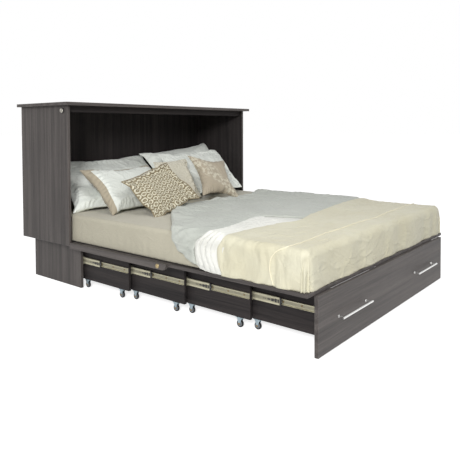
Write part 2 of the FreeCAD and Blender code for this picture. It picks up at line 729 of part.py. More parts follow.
make_cabinet()
make_plinth()
make_catches()
make_front_panel()
make_fold_hinges()
make_leaf()
for number in range(1, section_count + 1):
    make_section(number)
make_foot()
make_mattress()
make_covers()
make_pillows()
write_nodes()
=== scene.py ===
"""Cabinet bed, open and made up: the finishes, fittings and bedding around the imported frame."""
import logging
import math
from dataclasses import dataclass, field
from enum import Enum
from typing import Callable, Sequence

import bmesh
import bpy
from mathutils import Matrix, Vector, noise


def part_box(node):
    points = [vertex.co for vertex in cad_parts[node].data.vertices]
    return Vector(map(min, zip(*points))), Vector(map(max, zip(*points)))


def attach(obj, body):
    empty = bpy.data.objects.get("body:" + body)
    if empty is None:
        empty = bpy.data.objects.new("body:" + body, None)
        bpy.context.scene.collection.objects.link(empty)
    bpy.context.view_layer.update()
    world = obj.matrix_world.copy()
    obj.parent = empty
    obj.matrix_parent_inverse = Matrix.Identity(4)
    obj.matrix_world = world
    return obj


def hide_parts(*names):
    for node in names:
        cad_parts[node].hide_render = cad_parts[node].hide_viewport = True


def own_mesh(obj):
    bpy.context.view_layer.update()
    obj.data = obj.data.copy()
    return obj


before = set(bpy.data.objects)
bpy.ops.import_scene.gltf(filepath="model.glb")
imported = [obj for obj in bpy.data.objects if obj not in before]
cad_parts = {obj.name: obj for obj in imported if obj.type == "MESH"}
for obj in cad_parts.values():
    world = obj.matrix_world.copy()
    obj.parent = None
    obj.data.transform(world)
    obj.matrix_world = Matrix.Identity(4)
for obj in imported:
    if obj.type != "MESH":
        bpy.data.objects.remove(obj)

log = logging.getLogger("cabinet_bed")
Colour = tuple[float, float, float]
Point = tuple[float, float, float]
Socket = bpy.types.NodeSocket
Value = Socket | float | tuple

MM = 0.001
SECTIONS = range(1, 5)
RACEWAY_HEIGHT = 0.160
DECK_TOP = 0.276
WHITE = (1.0, 1.0, 1.0, 1.0)


def rgb(red: int, green: int, blue: int) -> Colour:
    """Linear colour of an 8-bit sRGB one.

    Args:
        red: its red, from 0 to 255.
        green: its green.
        blue: its blue.

    Returns:
        The linear colour.
    """
    def linear(value: int) -> float:
        """One channel, from display to linear."""
        share = value / 255
        return share / 12.92 if share <= 0.04045 else ((share + 0.055) / 1.055) ** 2.4
    return linear(red), linear(green), linear(blue)


# ---------------------------------------------------------------- shader building blocks
class Axis(Enum):
    """Direction of the bed that a grain or a brushing runs in."""

    X = 0
    Y = 1
    Z = 2


class Tree:
    """Adds and links the nodes of one shader tree."""

    def __init__(self, tree: bpy.types.NodeTree) -> None:
        """Start with an empty tree."""
        self.tree = tree
        self.tree.nodes.clear()

    def add(self, kind: str, links: dict | None = None, **settings: object) -> bpy.types.Node:
        """Add a node.

        Args:
            kind: node type name.
            links: input name or number to an output socket or a plain value.
            settings: attributes set on the node.

        Returns:
            The new node.
        """
        node = self.tree.nodes.new(kind)
        for name, value in settings.items():
            setattr(node, name, value)
        for name, value in (links or {}).items():
            if isinstance(value, bpy.types.NodeSocket):
                self.tree.links.new(value, node.inputs[name])
            else:
                node.inputs[name].default_value = value
        return node

    def join(self, value: Socket, node: bpy.types.Node, name: str | int) -> None:
        """Lead a socket into a node's input."""
        self.tree.links.new(value, node.inputs[name])

    def math(self, operation: str, *values: Value) -> Socket:
        """Output of a Math node with these inputs."""
        return self.add("ShaderNodeMath", dict(enumerate(values)), operation=operation).outputs[0]

    def times(self, first: Value, second: Value) -> Socket:
        """Product of two values."""
        return self.math("MULTIPLY", first, second)

    def plus(self, first: Value, second: Value) -> Socket:
        """Sum of two values."""
        return self.math("ADD", first, second)

    def minus(self, first: Value, second: Value) -> Socket:
        """First value less the second."""
        return self.math("SUBTRACT", first, second)

    def split(self, vector: Socket) -> Sequence[Socket]:
        """X, Y and Z of a vector."""
        return self.add("ShaderNodeSeparateXYZ", {0: vector}).outputs

    def ramp(self, value: Socket, low: float, high: float, to_low: float = 0.0,
             to_high: float = 1.0) -> Socket:
        """Output of a clamped Map Range node."""
        node = self.add("ShaderNodeMapRange", {0: value, 1: low, 2: high, 3: to_low, 4: to_high})
        return node.outputs[0]

    def mix(self, factor: Value, first: Value, second: Value) -> Socket:
        """Colour between two others.

        Args:
            factor: share of the second.
            first: colour at 0.
            second: colour at 1.

        Returns:
            The colour socket.
        """
        node = self.add("ShaderNodeMix", data_type="RGBA")
        for socket, value in ((node.inputs[0], factor), (node.inputs[6], first), (node.inputs[7], second)):
            if isinstance(value, bpy.types.NodeSocket):
                self.tree.links.new(value, socket)
            elif isinstance(value, tuple):
                socket.default_value = (*value, 1.0)
            else:
                socket.default_value = value
        return node.outputs[2]

    def noise(self, vector: Socket, scale: float, detail: float = 4.0, rough: float = 0.55) -> Socket:
        """Value of a noise texture."""
        return self.add("ShaderNodeTexNoise", {"Vector": vector, "Scale": scale, "Detail": detail,
                                               "Roughness": rough}).outputs[0]

    def place(self) -> Socket:
        """Coordinates of the piece."""
        return self.add("ShaderNodeTexCoord").outputs["Object"]

    def seen(self) -> Socket:
        """Whether the camera or a mirror looks at it."""
        path = self.add("ShaderNodeLightPath")
        return self.math("MAXIMUM", path.outputs["Is Camera Ray"], path.outputs["Is Glossy Ray"])

    def group(self, which: bpy.types.NodeTree, links: dict) -> bpy.types.Node:
        """Place a node group.

        Args:
            which: the node group.
            links: input name to a socket or a plain value.

        Returns:
            The group's node.
        """
        node = self.add("ShaderNodeGroup", node_tree=which)
        for name, value in links.items():
            if isinstance(value, bpy.types.NodeSocket):
                self.tree.links.new(value, node.inputs[name])
            else:
                node.inputs[name].default_value = value
        return node


class Effects:
    """The node groups that several finishes share, each built once."""

    def __init__(self) -> None:
        """Build every group."""
        self.grain = self._grain()
        self.wear_and_highlight = self._wear_and_highlight()
        self.weave = self._weave()
        self.tone = self._tone()
        self.creases = self._creases()

    @staticmethod
    def _start(name: str, inputs: dict, outputs: Sequence[str]) -> tuple[Tree, bpy.types.Node]:
        """Open a new group.

        Args:
            name: the group's name.
            inputs: socket name to (type, default).
            outputs: names of its float outputs.

        Returns:
            The tree and its input node.
        """
        group = bpy.data.node_groups.new(name, "ShaderNodeTree")
        for label, (kind, default) in inputs.items():
            socket = group.interface.new_socket(label, in_out="INPUT", socket_type=kind)
            if default is not None:
                socket.default_value = default
        for label in outputs:
            group.interface.new_socket(label, in_out="OUTPUT", socket_type="NodeSocketFloat")
        tree = Tree(group)
        return tree, tree.add("NodeGroupInput")

    def _grain(self) -> bpy.types.NodeTree:
        """Woodgrain of a printed laminate: broad bands, streaks and pores, run along the stretched axis.

        Returns:
            The node group.
        """
        tree, given = self._start("laminate_grain", {"Vector": ("NodeSocketVector", None)},
                                  ("Band", "Streak", "Pore"))
        vector = given.outputs[0]
        warp = tree.noise(vector, 5.0, 2.0)
        bent = tree.add("ShaderNodeVectorMath", {0: vector, 1: (0.02, 0.02, 0.02)}, operation="MULTIPLY_ADD")
        tree.join(vector, bent, 2)
        tree.join(warp, bent, 0)
        out = tree.add("NodeGroupOutput")
        pore = tree.ramp(tree.noise(bent.outputs[0], 720.0, 2.0), 0.56, 0.72)
        for label, value in (("Band", tree.noise(bent.outputs[0], 26.0, 3.0)),
                             ("Streak", tree.noise(bent.outputs[0], 150.0, 5.0, 0.65)), ("Pore", pore)):
            tree.join(value, out, label)
        return tree.tree

    def _wear_and_highlight(self) -> bpy.types.NodeTree:
        """Mask of the edges, which the finishes lighten: partly wear from hands and dust, partly a painted
        highlight along the boards' chamfers.

        Returns:
            The node group.
        """
        tree, given = self._start("edge_wear_and_highlight", {"Radius": ("NodeSocketFloat", 0.002),
                                                "Vector": ("NodeSocketVector", None)}, ("Mask",))
        soft = tree.add("ShaderNodeBevel", {"Radius": given.outputs[0]}, samples=4)
        hard = tree.add("ShaderNodeNewGeometry")
        same = tree.add("ShaderNodeVectorMath", {0: soft.outputs[0], 1: hard.outputs["Normal"]},
                        operation="DOT_PRODUCT")
        edge = tree.ramp(same.outputs["Value"], 0.995, 0.9)
        broken = tree.ramp(tree.noise(given.outputs[1], 60.0, 5.0), 0.35, 0.65, 0.35, 1.0)
        out = tree.add("NodeGroupOutput")
        tree.join(tree.times(edge, broken), out, "Mask")
        return tree.tree

    def _weave(self) -> bpy.types.NodeTree:
        """Plain weave over and under, with slubs: its height and the share of warp on top.

        Returns:
            The node group.
        """
        tree, given = self._start("plain_weave", {"Vector": ("NodeSocketVector", None),
                                                  "Threads": ("NodeSocketFloat", 900.0)}, ("Height", "Warp"))
        scaled = tree.add("ShaderNodeVectorMath", {0: given.outputs[0]}, operation="SCALE")
        tree.join(given.outputs[1], scaled, "Scale")
        split = tree.split(scaled.outputs[0])
        across = tree.math("SINE", tree.times(split[0], math.pi))
        along = tree.math("SINE", tree.times(split[1], math.pi))
        over = tree.times(across, along)
        height = tree.plus(tree.times(tree.math("ABSOLUTE", over), 0.7),
                           tree.times(tree.noise(given.outputs[0], 240.0, 3.0), 0.6))
        out = tree.add("NodeGroupOutput")
        tree.join(height, out, "Height")
        tree.join(tree.ramp(over, -0.4, 0.4), out, "Warp")
        return tree.tree

    def _tone(self) -> bpy.types.NodeTree:
        """Slow unevenness of a dyed or printed surface.

        Returns:
            The node group.
        """
        tree, given = self._start("soft_tone", {"Vector": ("NodeSocketVector", None),
                                                "Scale": ("NodeSocketFloat", 5.0)}, ("Value",))
        cloud = tree.add("ShaderNodeTexNoise", {"Vector": given.outputs[0], "Scale": given.outputs[1],
                                                "Detail": 4.0})
        out = tree.add("NodeGroupOutput")
        tree.join(tree.ramp(cloud.outputs[0], 0.3, 0.7), out, "Value")
        return tree.tree

    def _creases(self) -> bpy.types.NodeTree:
        """Small creases of washed cloth, as a height.

        Returns:
            The node group.
        """
        tree, given = self._start("cloth_creases", {"Vector": ("NodeSocketVector", None),
                                                    "Scale": ("NodeSocketFloat", 14.0)}, ("Height",))
        wander = tree.add("ShaderNodeTexNoise", {"Vector": given.outputs[0], "Scale": given.outputs[1],
                                                 "Detail": 5.0, "Distortion": 1.2})
        ridge = tree.math("ABSOLUTE", tree.minus(wander.outputs[0], 0.5))
        out = tree.add("NodeGroupOutput")
        tree.join(tree.ramp(ridge, 0.0, 0.12, 1.0, 0.0), out, "Height")
        return tree.tree


def new_material(name: str) -> tuple[bpy.types.Material, Tree, bpy.types.Node]:
    """Material with an empty tree, a Principled shader and an output.

    Args:
        name: the material's name.

    Returns:
        The material, its tree and its shader node.
    """
    material = bpy.data.materials.new(name)
    material.use_nodes = True
    tree = Tree(material.node_tree)
    shader = tree.add("ShaderNodeBsdfPrincipled")
    tree.add("ShaderNodeOutputMaterial", {"Surface": shader.outputs[0]})
    return material, tree, shader


def bump(tree: Tree, height: Socket, distance: float, strength: float = 1.0,
         under: Socket | None = None) -> Socket:
    """Normal of a Bump node.

    Args:
        tree: the tree it goes in.
        height: the height socket.
        distance: metres that a height of 1 stands up.
        strength: share of the effect.
        under: normal of a bump below it.

    Returns:
        The normal socket.
    """
    links = {"Height": height, "Distance": distance, "Strength": strength}
    if under is not None:
        links["Normal"] = under
    return tree.add("ShaderNodeBump", links).outputs[0]


# ---------------------------------------------------------------- finishes
@dataclass(frozen=True)
class Laminate:
    """Printed woodgrain laminate."""

    name: str
    dark: Colour
    light: Colour
    along: Axis
    roughness: float = 0.5
    wear_and_highlight: float = 0.35
    gloss: float = 0.28
    painted_shade_within: float | None = None

    def build(self, effects: Effects) -> bpy.types.Material:
        """Make the material.

        Args:
            effects: the shared node groups.

        Returns:
            The material.
        """
        material, tree, shader = new_material(self.name)
        place = tree.place()
        stretch = [1.0, 1.0, 1.0]
        stretch[self.along.value] = 0.022
        laid = tree.add("ShaderNodeMapping", {"Vector": place, "Scale": stretch}).outputs[0]
        grain = tree.group(effects.grain, {"Vector": laid})
        cloud = tree.group(effects.tone, {"Vector": place, "Scale": 2.2})
        bands = tree.ramp(grain.outputs["Band"], 0.38, 0.62)
        streaks = tree.ramp(grain.outputs["Streak"], 0.36, 0.66)
        share = tree.plus(tree.times(bands, 0.42), tree.times(streaks, 0.42))
        share = tree.plus(share, tree.times(cloud.outputs[0], 0.16))
        body = tree.mix(share, self.dark, self.light)
        # Painted shade: faces nearer the middle than this take the darkened colours, as on the inner faces of
        # the cabinet's sides.
        if self.painted_shade_within is not None:
            side = tree.math("ABSOLUTE", tree.split(place)[0])
            inside = tree.ramp(side, self.painted_shade_within, self.painted_shade_within + 0.0006, 1.0, 0.0)
            body = tree.mix(inside, body, tree.mix(share, SHADED_INNER_DARK, SHADED_INNER_LIGHT))
        pores = tree.mix(tree.times(grain.outputs["Pore"], 0.55), body,
                         tuple(0.55 * c for c in self.dark))
        # Edges lightened towards a paler grey: partly wear, partly a painted highlight along the chamfers.
        wear_and_highlight = tree.group(effects.wear_and_highlight, {"Vector": place, "Radius": 0.0018})
        worn_and_lit = tree.times(wear_and_highlight.outputs[0], self.wear_and_highlight)
        edge = tuple(min(1.0, 1.9 * c) for c in self.light)
        tree.join(tree.mix(worn_and_lit, pores, edge), shader, "Base Color")
        rough = tree.ramp(grain.outputs["Streak"], 0.2, 0.8, self.roughness - 0.06, self.roughness + 0.1)
        tree.join(rough, shader, "Roughness")
        relief = tree.minus(tree.times(grain.outputs["Streak"], 0.5),
                            grain.outputs["Pore"])
        tree.join(bump(tree, relief, 0.00012), shader, "Normal")
        shader.inputs["Specular IOR Level"].default_value = self.gloss
        return material


@dataclass(frozen=True)
class Metal:
    """Plated, painted or brushed metal."""

    name: str
    colour: Colour
    roughness: float
    metallic: float = 1.0
    brushed: Axis | None = None
    mottle: float = 0.12
    groove: float | None = None

    def build(self, effects: Effects) -> bpy.types.Material:
        """Make the material.

        Args:
            effects: the shared node groups.

        Returns:
            The material.
        """
        material, tree, shader = new_material(self.name)
        place = tree.place()
        cloud = tree.group(effects.tone, {"Vector": place, "Scale": 38.0})
        dark = tuple(c * (1 - 2 * self.mottle) for c in self.colour)
        body = tree.mix(cloud.outputs[0], dark, self.colour)
        wear_and_highlight = tree.group(effects.wear_and_highlight, {"Vector": place, "Radius": 0.0006})
        bright = tuple(min(1.0, 1.25 * c) for c in self.colour)
        body = tree.mix(tree.times(wear_and_highlight.outputs[0], 0.6), body, bright)
        if self.groove is not None:
            # Painted shade: a darker band along the pressed groove at this height.
            height = tree.split(place)[2]
            off = tree.math("ABSOLUTE", tree.minus(height, self.groove))
            groove_shade = tree.times(tree.ramp(off, 0.0055, 0.0085, 1.0, 0.0),
                                tree.ramp(cloud.outputs[0], 0.0, 1.0, 0.75, 1.0))
            body = tree.mix(groove_shade, body, tuple(0.42 * c for c in self.colour))
        tree.join(body, shader, "Base Color")
        stretch = [900.0, 900.0, 900.0]
        if self.brushed is not None:
            stretch[self.brushed.value] = 14.0
        laid = tree.add("ShaderNodeMapping", {"Vector": place, "Scale": stretch}).outputs[0]
        scratches = tree.noise(laid, 1.0, 3.0)
        tree.join(tree.ramp(scratches, 0.25, 0.75, self.roughness - 0.07, self.roughness + 0.1),
                  shader, "Roughness")
        tree.join(bump(tree, scratches, 0.00003), shader, "Normal")
        shader.inputs["Metallic"].default_value = self.metallic
        return material


@dataclass(frozen=True)
class Moulded:
    """Moulded plastic or rubber with a fine spark-eroded skin."""

    name: str
    colour: Colour
    roughness: float

    def build(self, effects: Effects) -> bpy.types.Material:
        """Make the material.

        Args:
            effects: the shared node groups.

        Returns:
            The material.
        """
        material, tree, shader = new_material(self.name)
        place = tree.place()
        cloud = tree.group(effects.tone, {"Vector": place, "Scale": 60.0})
        pale = tuple(min(1.0, 1.5 * c + 0.004) for c in self.colour)
        wear_and_highlight = tree.group(effects.wear_and_highlight, {"Vector": place, "Radius": 0.001})
        share = tree.plus(tree.times(cloud.outputs[0], 0.35),
                          tree.times(wear_and_highlight.outputs[0], 0.5))
        tree.join(tree.mix(share, self.colour, pale), shader, "Base Color")
        skin = tree.noise(place, 1400.0, 2.0)
        tree.join(tree.ramp(skin, 0.3, 0.7, self.roughness - 0.05, self.roughness + 0.08),
                  shader, "Roughness")
        tree.join(bump(tree, skin, 0.00004), shader, "Normal")
        return material


class Pattern(Enum):
    """What is woven or printed on a cloth."""

    PLAIN = "plain"
    BANDED = "banded"
    RINGS = "rings"
    BLOSSOM = "blossom"
    TEXTURED = "textured"


@dataclass(frozen=True)
class Cloth:
    """Woven cloth on a piece with a UV map in metres."""

    name: str
    colour: Colour
    shade: Colour
    motif: Colour = (0.8, 0.75, 0.6)
    pattern: Pattern = Pattern.PLAIN
    roughness: float = 0.85
    sheen: float = 0.25
    threads: float = 900.0
    crease: float = 0.6
    crease_scale: float = 14.0
    band: tuple[float, float] = (0.0, 0.0)
    drawn: Point = (1.0, 1.0, 1.0)

    def build(self, effects: Effects) -> bpy.types.Material:
        """Make the material.

        Args:
            effects: the shared node groups.

        Returns:
            The material.
        """
        material, tree, shader = new_material(self.name)
        flat = tree.add("ShaderNodeUVMap", uv_map="cloth").outputs[0]
        weave = tree.group(effects.weave, {"Vector": flat, "Threads": self.threads})
        cloud = tree.group(effects.tone, {"Vector": flat, "Scale": 4.0})
        drawn = tree.add("ShaderNodeMapping", {"Vector": flat, "Scale": self.drawn}).outputs[0]
        creases = tree.group(effects.creases, {"Vector": drawn, "Scale": self.crease_scale})
        share = tree.plus(tree.times(cloud.outputs[0], 0.6),
                          tree.times(weave.outputs["Warp"], 0.4))
        body = tree.mix(share, self.shade, self.colour)
        mask, extra = self._motif(tree, flat)
        if mask is not None:
            body = tree.mix(mask, body, self.motif)
        tree.join(body, shader, "Base Color")
        tree.join(tree.ramp(cloud.outputs[0], 0.0, 1.0, self.roughness - 0.04, self.roughness + 0.04),
                  shader, "Roughness")
        under = bump(tree, creases.outputs[0], 0.0028 * self.crease, 0.8)
        fine = weave.outputs["Height"]
        if extra is not None:
            fine = tree.plus(fine, tree.times(extra, 2.5))
        tree.join(bump(tree, fine, 0.00018, 0.6, under), shader, "Normal")
        shader.inputs["Sheen Weight"].default_value = self.sheen
        shader.inputs["Sheen Roughness"].default_value = 0.45
        shader.inputs["Specular IOR Level"].default_value = 0.25
        return material

    def _motif(self, tree: Tree, flat: Socket) -> tuple[Socket | None, Socket | None]:
        """Mask of the motif and its relief, or a pair of None.

        Args:
            tree: the tree it goes in.
            flat: the cloth's UV coordinates.

        Returns:
            The mask and the relief.
        """
        if self.pattern is Pattern.BANDED:
            return self._band(tree, flat), None
        if self.pattern is Pattern.RINGS:
            mask = self._rings(tree, flat)
            return mask, mask
        if self.pattern is Pattern.BLOSSOM:
            mask = self._blossoms(tree, flat)
            return mask, mask
        if self.pattern is Pattern.TEXTURED:
            dots = tree.add("ShaderNodeTexVoronoi", {"Vector": flat, "Scale": 150.0}).outputs["Distance"]
            mask = tree.ramp(dots, 0.25, 0.5)
            return tree.times(mask, 0.7), mask
        return None, None

    def _band(self, tree: Tree, flat: Socket) -> Socket:
        """Contrasting border along the left end and the top of the case.

        Args:
            tree: the tree it goes in.
            flat: the cloth's UV coordinates.

        Returns:
            The mask socket.
        """
        split = tree.split(flat)
        left = tree.ramp(split[0], self.band[0] - 0.0008, self.band[0] + 0.0008, 1.0, 0.0)
        top = tree.ramp(split[1], self.band[1] - 0.0008, self.band[1] + 0.0008)
        return tree.math("MAXIMUM", left, top)

    def _rings(self, tree: Tree, flat: Socket) -> Socket:
        """Rows of hand-drawn rings, each row set between the rings of the next.

        Args:
            tree: the tree it goes in.
            flat: the cloth's UV coordinates.

        Returns:
            The mask socket.
        """
        shift = tree.add("ShaderNodeTexNoise", {"Vector": flat, "Scale": 30.0,
                                                "Detail": 2.0}).outputs["Color"]
        bent = tree.add("ShaderNodeVectorMath", {0: shift, 1: (0.010, 0.010, 0.0)}, operation="MULTIPLY_ADD")
        tree.join(flat, bent, 2)
        split = tree.split(bent.outputs[0])
        up = tree.times(split[1], 28.0)
        row = tree.times(tree.math("FLOOR", up), 0.5)
        across = tree.plus(tree.times(split[0], 25.0), row)
        wide = tree.minus(tree.math("FRACT", across), 0.5)
        high = tree.minus(tree.math("FRACT", up), 0.5)
        far = tree.math("SQRT", tree.plus(tree.times(wide, wide),
                                          tree.times(high, high)))
        band = tree.math("ABSOLUTE", tree.minus(far, 0.36))
        total = tree.math("MAXIMUM", tree.ramp(band, 0.080, 0.120, 1.0, 0.0),
                          tree.ramp(far, 0.05, 0.09, 1.0, 0.0))
        patchy = tree.ramp(tree.noise(flat, 60.0, 3.0), 0.35, 0.5, 0.45, 1.0)
        return tree.times(total, patchy)

    def _blossoms(self, tree: Tree, flat: Socket) -> Socket:
        """Five-petalled blossoms scattered along wandering stems.

        Args:
            tree: the tree it goes in.
            flat: the cloth's UV coordinates.

        Returns:
            The mask socket.
        """
        cells = tree.add("ShaderNodeTexVoronoi", {"Vector": flat, "Scale": 30.0, "Randomness": 0.8},
                         voronoi_dimensions="2D")
        from_heart = tree.add("ShaderNodeVectorMath", {0: flat, 1: cells.outputs["Position"]},
                              operation="SUBTRACT").outputs[0]
        split = tree.split(from_heart)
        turn = tree.math("ARCTAN2", split[1], split[0])
        petals = tree.math("ABSOLUTE", tree.math("COSINE", tree.times(turn, 2.5)))
        edge = tree.ramp(petals, 0.0, 1.0, 0.004, 0.0145)
        far = tree.add("ShaderNodeVectorMath", {0: from_heart}, operation="LENGTH").outputs["Value"]
        flower = tree.ramp(tree.minus(far, edge), -0.0008, 0.0008, 1.0, 0.0)
        heart = tree.ramp(far, 0.0018, 0.0026)
        drift = tree.split(flat)
        wander = tree.times(tree.noise(flat, 5.0, 2.0), 0.24)
        diagonal = tree.plus(tree.plus(drift[0], drift[1]), wander)
        off = tree.math("ABSOLUTE", tree.minus(diagonal, 0.43))
        spray = tree.ramp(off, 0.075, 0.10, 1.0, 0.0)
        stems = tree.add("ShaderNodeTexVoronoi", {"Vector": flat, "Scale": 17.0}, voronoi_dimensions="2D",
                         feature="DISTANCE_TO_EDGE").outputs["Distance"]
        stem = tree.times(tree.ramp(stems, 0.018, 0.045, 1.0, 0.0), spray)
        fill = tree.times(tree.times(flower, heart), spray)
        brushed = tree.ramp(tree.noise(flat, 160.0, 3.0), 0.3, 0.6, 0.45, 1.0)
        return tree.times(tree.math("MAXIMUM", fill, stem), brushed)


# ---------------------------------------------------------------- finishes of this bed
GREY_DARK = rgb(51, 47, 46)
GREY_LIGHT = rgb(103, 97, 94)
# Painted shade: the laminate darkened for the faces inside the cabinet and the boxes under the deck, where
# shade falls.
SHADED_INNER_DARK = rgb(30, 28, 29)
SHADED_INNER_LIGHT = rgb(64, 59, 58)

FINISHES = {
    "laminate_upright": Laminate("laminate_upright", GREY_DARK, GREY_LIGHT, Axis.Z),
    # The sides' finish paints that shade on their inner faces; the three darker laminates below are painted
    # shade throughout.
    "laminate_shell": Laminate("laminate_shell", GREY_DARK, GREY_LIGHT, Axis.Z, painted_shade_within=0.7842),
    "laminate_across": Laminate("laminate_across", GREY_DARK, GREY_LIGHT, Axis.X),
    "laminate_lengthways": Laminate("laminate_lengthways", GREY_DARK, GREY_LIGHT, Axis.Y),
    "inner_upright": Laminate("inner_upright", SHADED_INNER_DARK, SHADED_INNER_LIGHT, Axis.Z, 0.6, 0.15, 0.12),
    "inner_across": Laminate("inner_across", SHADED_INNER_DARK, SHADED_INNER_LIGHT, Axis.X, 0.6, 0.15, 0.12),
    "shaded_lengthways": Laminate("shaded_lengthways", SHADED_INNER_DARK, SHADED_INNER_LIGHT, Axis.Y, 0.58, 0.25, 0.16),
    "slide_zinc": Metal("slide_zinc", rgb(196, 191, 166), 0.42, 0.55, Axis.Y, 0.1, RACEWAY_HEIGHT),
    "fork_steel": Metal("fork_steel", rgb(164, 180, 188), 0.42, 0.5),
    "hinge_steel": Metal("hinge_steel", rgb(186, 184, 180), 0.35, 1.0, Axis.X),
    "pull_steel": Metal("pull_steel", rgb(222, 222, 220), 0.24, 1.0, Axis.X, 0.04),
    "screw_zinc": Metal("screw_zinc", rgb(150, 122, 78), 0.4, 0.8),
    "stud_brass": Metal("stud_brass", rgb(176, 158, 118), 0.38, 0.8),
    "catch_ring": Metal("catch_ring", rgb(206, 202, 192), 0.3),
    "black_plastic_and_painted_shade": Moulded("black_plastic_and_painted_shade", rgb(26, 25, 27), 0.45),
    "tyre_rubber": Moulded("tyre_rubber", rgb(20, 20, 22), 0.6),
    "hub_plastic": Moulded("hub_plastic", rgb(120, 124, 128), 0.5),
    "sheet_cotton": Cloth("sheet_cotton", rgb(195, 190, 171), rgb(183, 178, 160), crease=0.4),
    "mattress_ticking": Cloth("mattress_ticking", rgb(226, 222, 212), rgb(210, 205, 194), threads=500.0),
    "duvet_cotton": Cloth("duvet_cotton", rgb(196, 199, 191), rgb(182, 186, 178), roughness=0.6, sheen=0.2,
                          crease=1.1, crease_scale=15.0, drawn=(1.0, 0.40, 1.0)),
    "lining_sateen": Cloth("lining_sateen", rgb(231, 231, 225), rgb(219, 219, 212), roughness=0.42,
                           sheen=0.1, crease=0.5, drawn=(0.4, 1.0, 1.0)),
    "coverlet_sateen": Cloth("coverlet_sateen", rgb(219, 216, 195), rgb(205, 199, 171), roughness=0.5,
                             sheen=0.1, crease=0.75, crease_scale=11.0, drawn=(0.55, 1.0, 1.0)),
    "piping_sateen": Cloth("piping_sateen", rgb(244, 238, 214), rgb(234, 226, 198), roughness=0.5,
                           crease=0.0),
    "pillow_cotton": Cloth("pillow_cotton", rgb(240, 243, 236), rgb(230, 234, 227), roughness=0.75),
    "sham_cotton": Cloth("sham_cotton", rgb(232, 235, 228), rgb(219, 223, 216), rgb(172, 162, 142),
                         Pattern.BANDED, band=(0.044, 0.352)),
    "ring_weave": Cloth("ring_weave", rgb(137, 125, 99), rgb(119, 108, 84), rgb(214, 209, 188),
                        Pattern.RINGS, threads=600.0, crease=0.2),
    "blossom_weave": Cloth("blossom_weave", rgb(182, 171, 152), rgb(169, 158, 139), rgb(216, 211, 192),
                           Pattern.BLOSSOM, threads=600.0, crease=0.2),
    "nubby_weave": Cloth("nubby_weave", rgb(199, 194, 178), rgb(182, 177, 160), rgb(220, 216, 200),
                         Pattern.TEXTURED, threads=420.0, crease=0.2),
    "cushion_piping": Cloth("cushion_piping", rgb(150, 136, 108), rgb(134, 121, 95), threads=700.0,
                            crease=0.0),
}


class Workshop:
    """Holds the finishes and turns meshes into pieces of the bed."""

    def __init__(self) -> None:
        """Build every finish once."""
        effects = Effects()
        self.materials = {name: finish.build(effects) for name, finish in FINISHES.items()}

    def dress(self, node: str, finish: str) -> None:
        """Give a construction node its finish.

        Args:
            node: the node's name.
            finish: the finish's name.
        """
        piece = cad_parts[node]
        piece.data.materials.clear()
        piece.data.materials.append(self.materials[finish])

    def piece(self, name: str, bm: bmesh.types.BMesh, finishes: Sequence[str], body: str, slot: str,
              sharp: float | None = None) -> bpy.types.Object:
        """Turn a bmesh into a piece that rides on a body.

        Args:
            name: the piece's name.
            bm: its mesh, freed here.
            finishes: names of its finishes, in the order of its faces' numbers.
            body: the body it moves with.
            slot: not used.
            sharp: degrees from which an edge is shaded sharp, or None for a soft piece.

        Returns:
            The new object.
        """
        mesh = bpy.data.meshes.new(name)
        bm.to_mesh(mesh)
        bm.free()
        piece = bpy.data.objects.new(name, mesh)
        bpy.context.scene.collection.objects.link(piece)
        for finish in finishes:
            mesh.materials.append(self.materials[finish])
        mesh.polygons.foreach_set("use_smooth", [True] * len(mesh.polygons))
        if sharp is not None:
            mesh.set_sharp_from_angle(angle=math.radians(sharp))
        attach(piece, body)
        log.info("made %s on %s", name, body)
        return piece


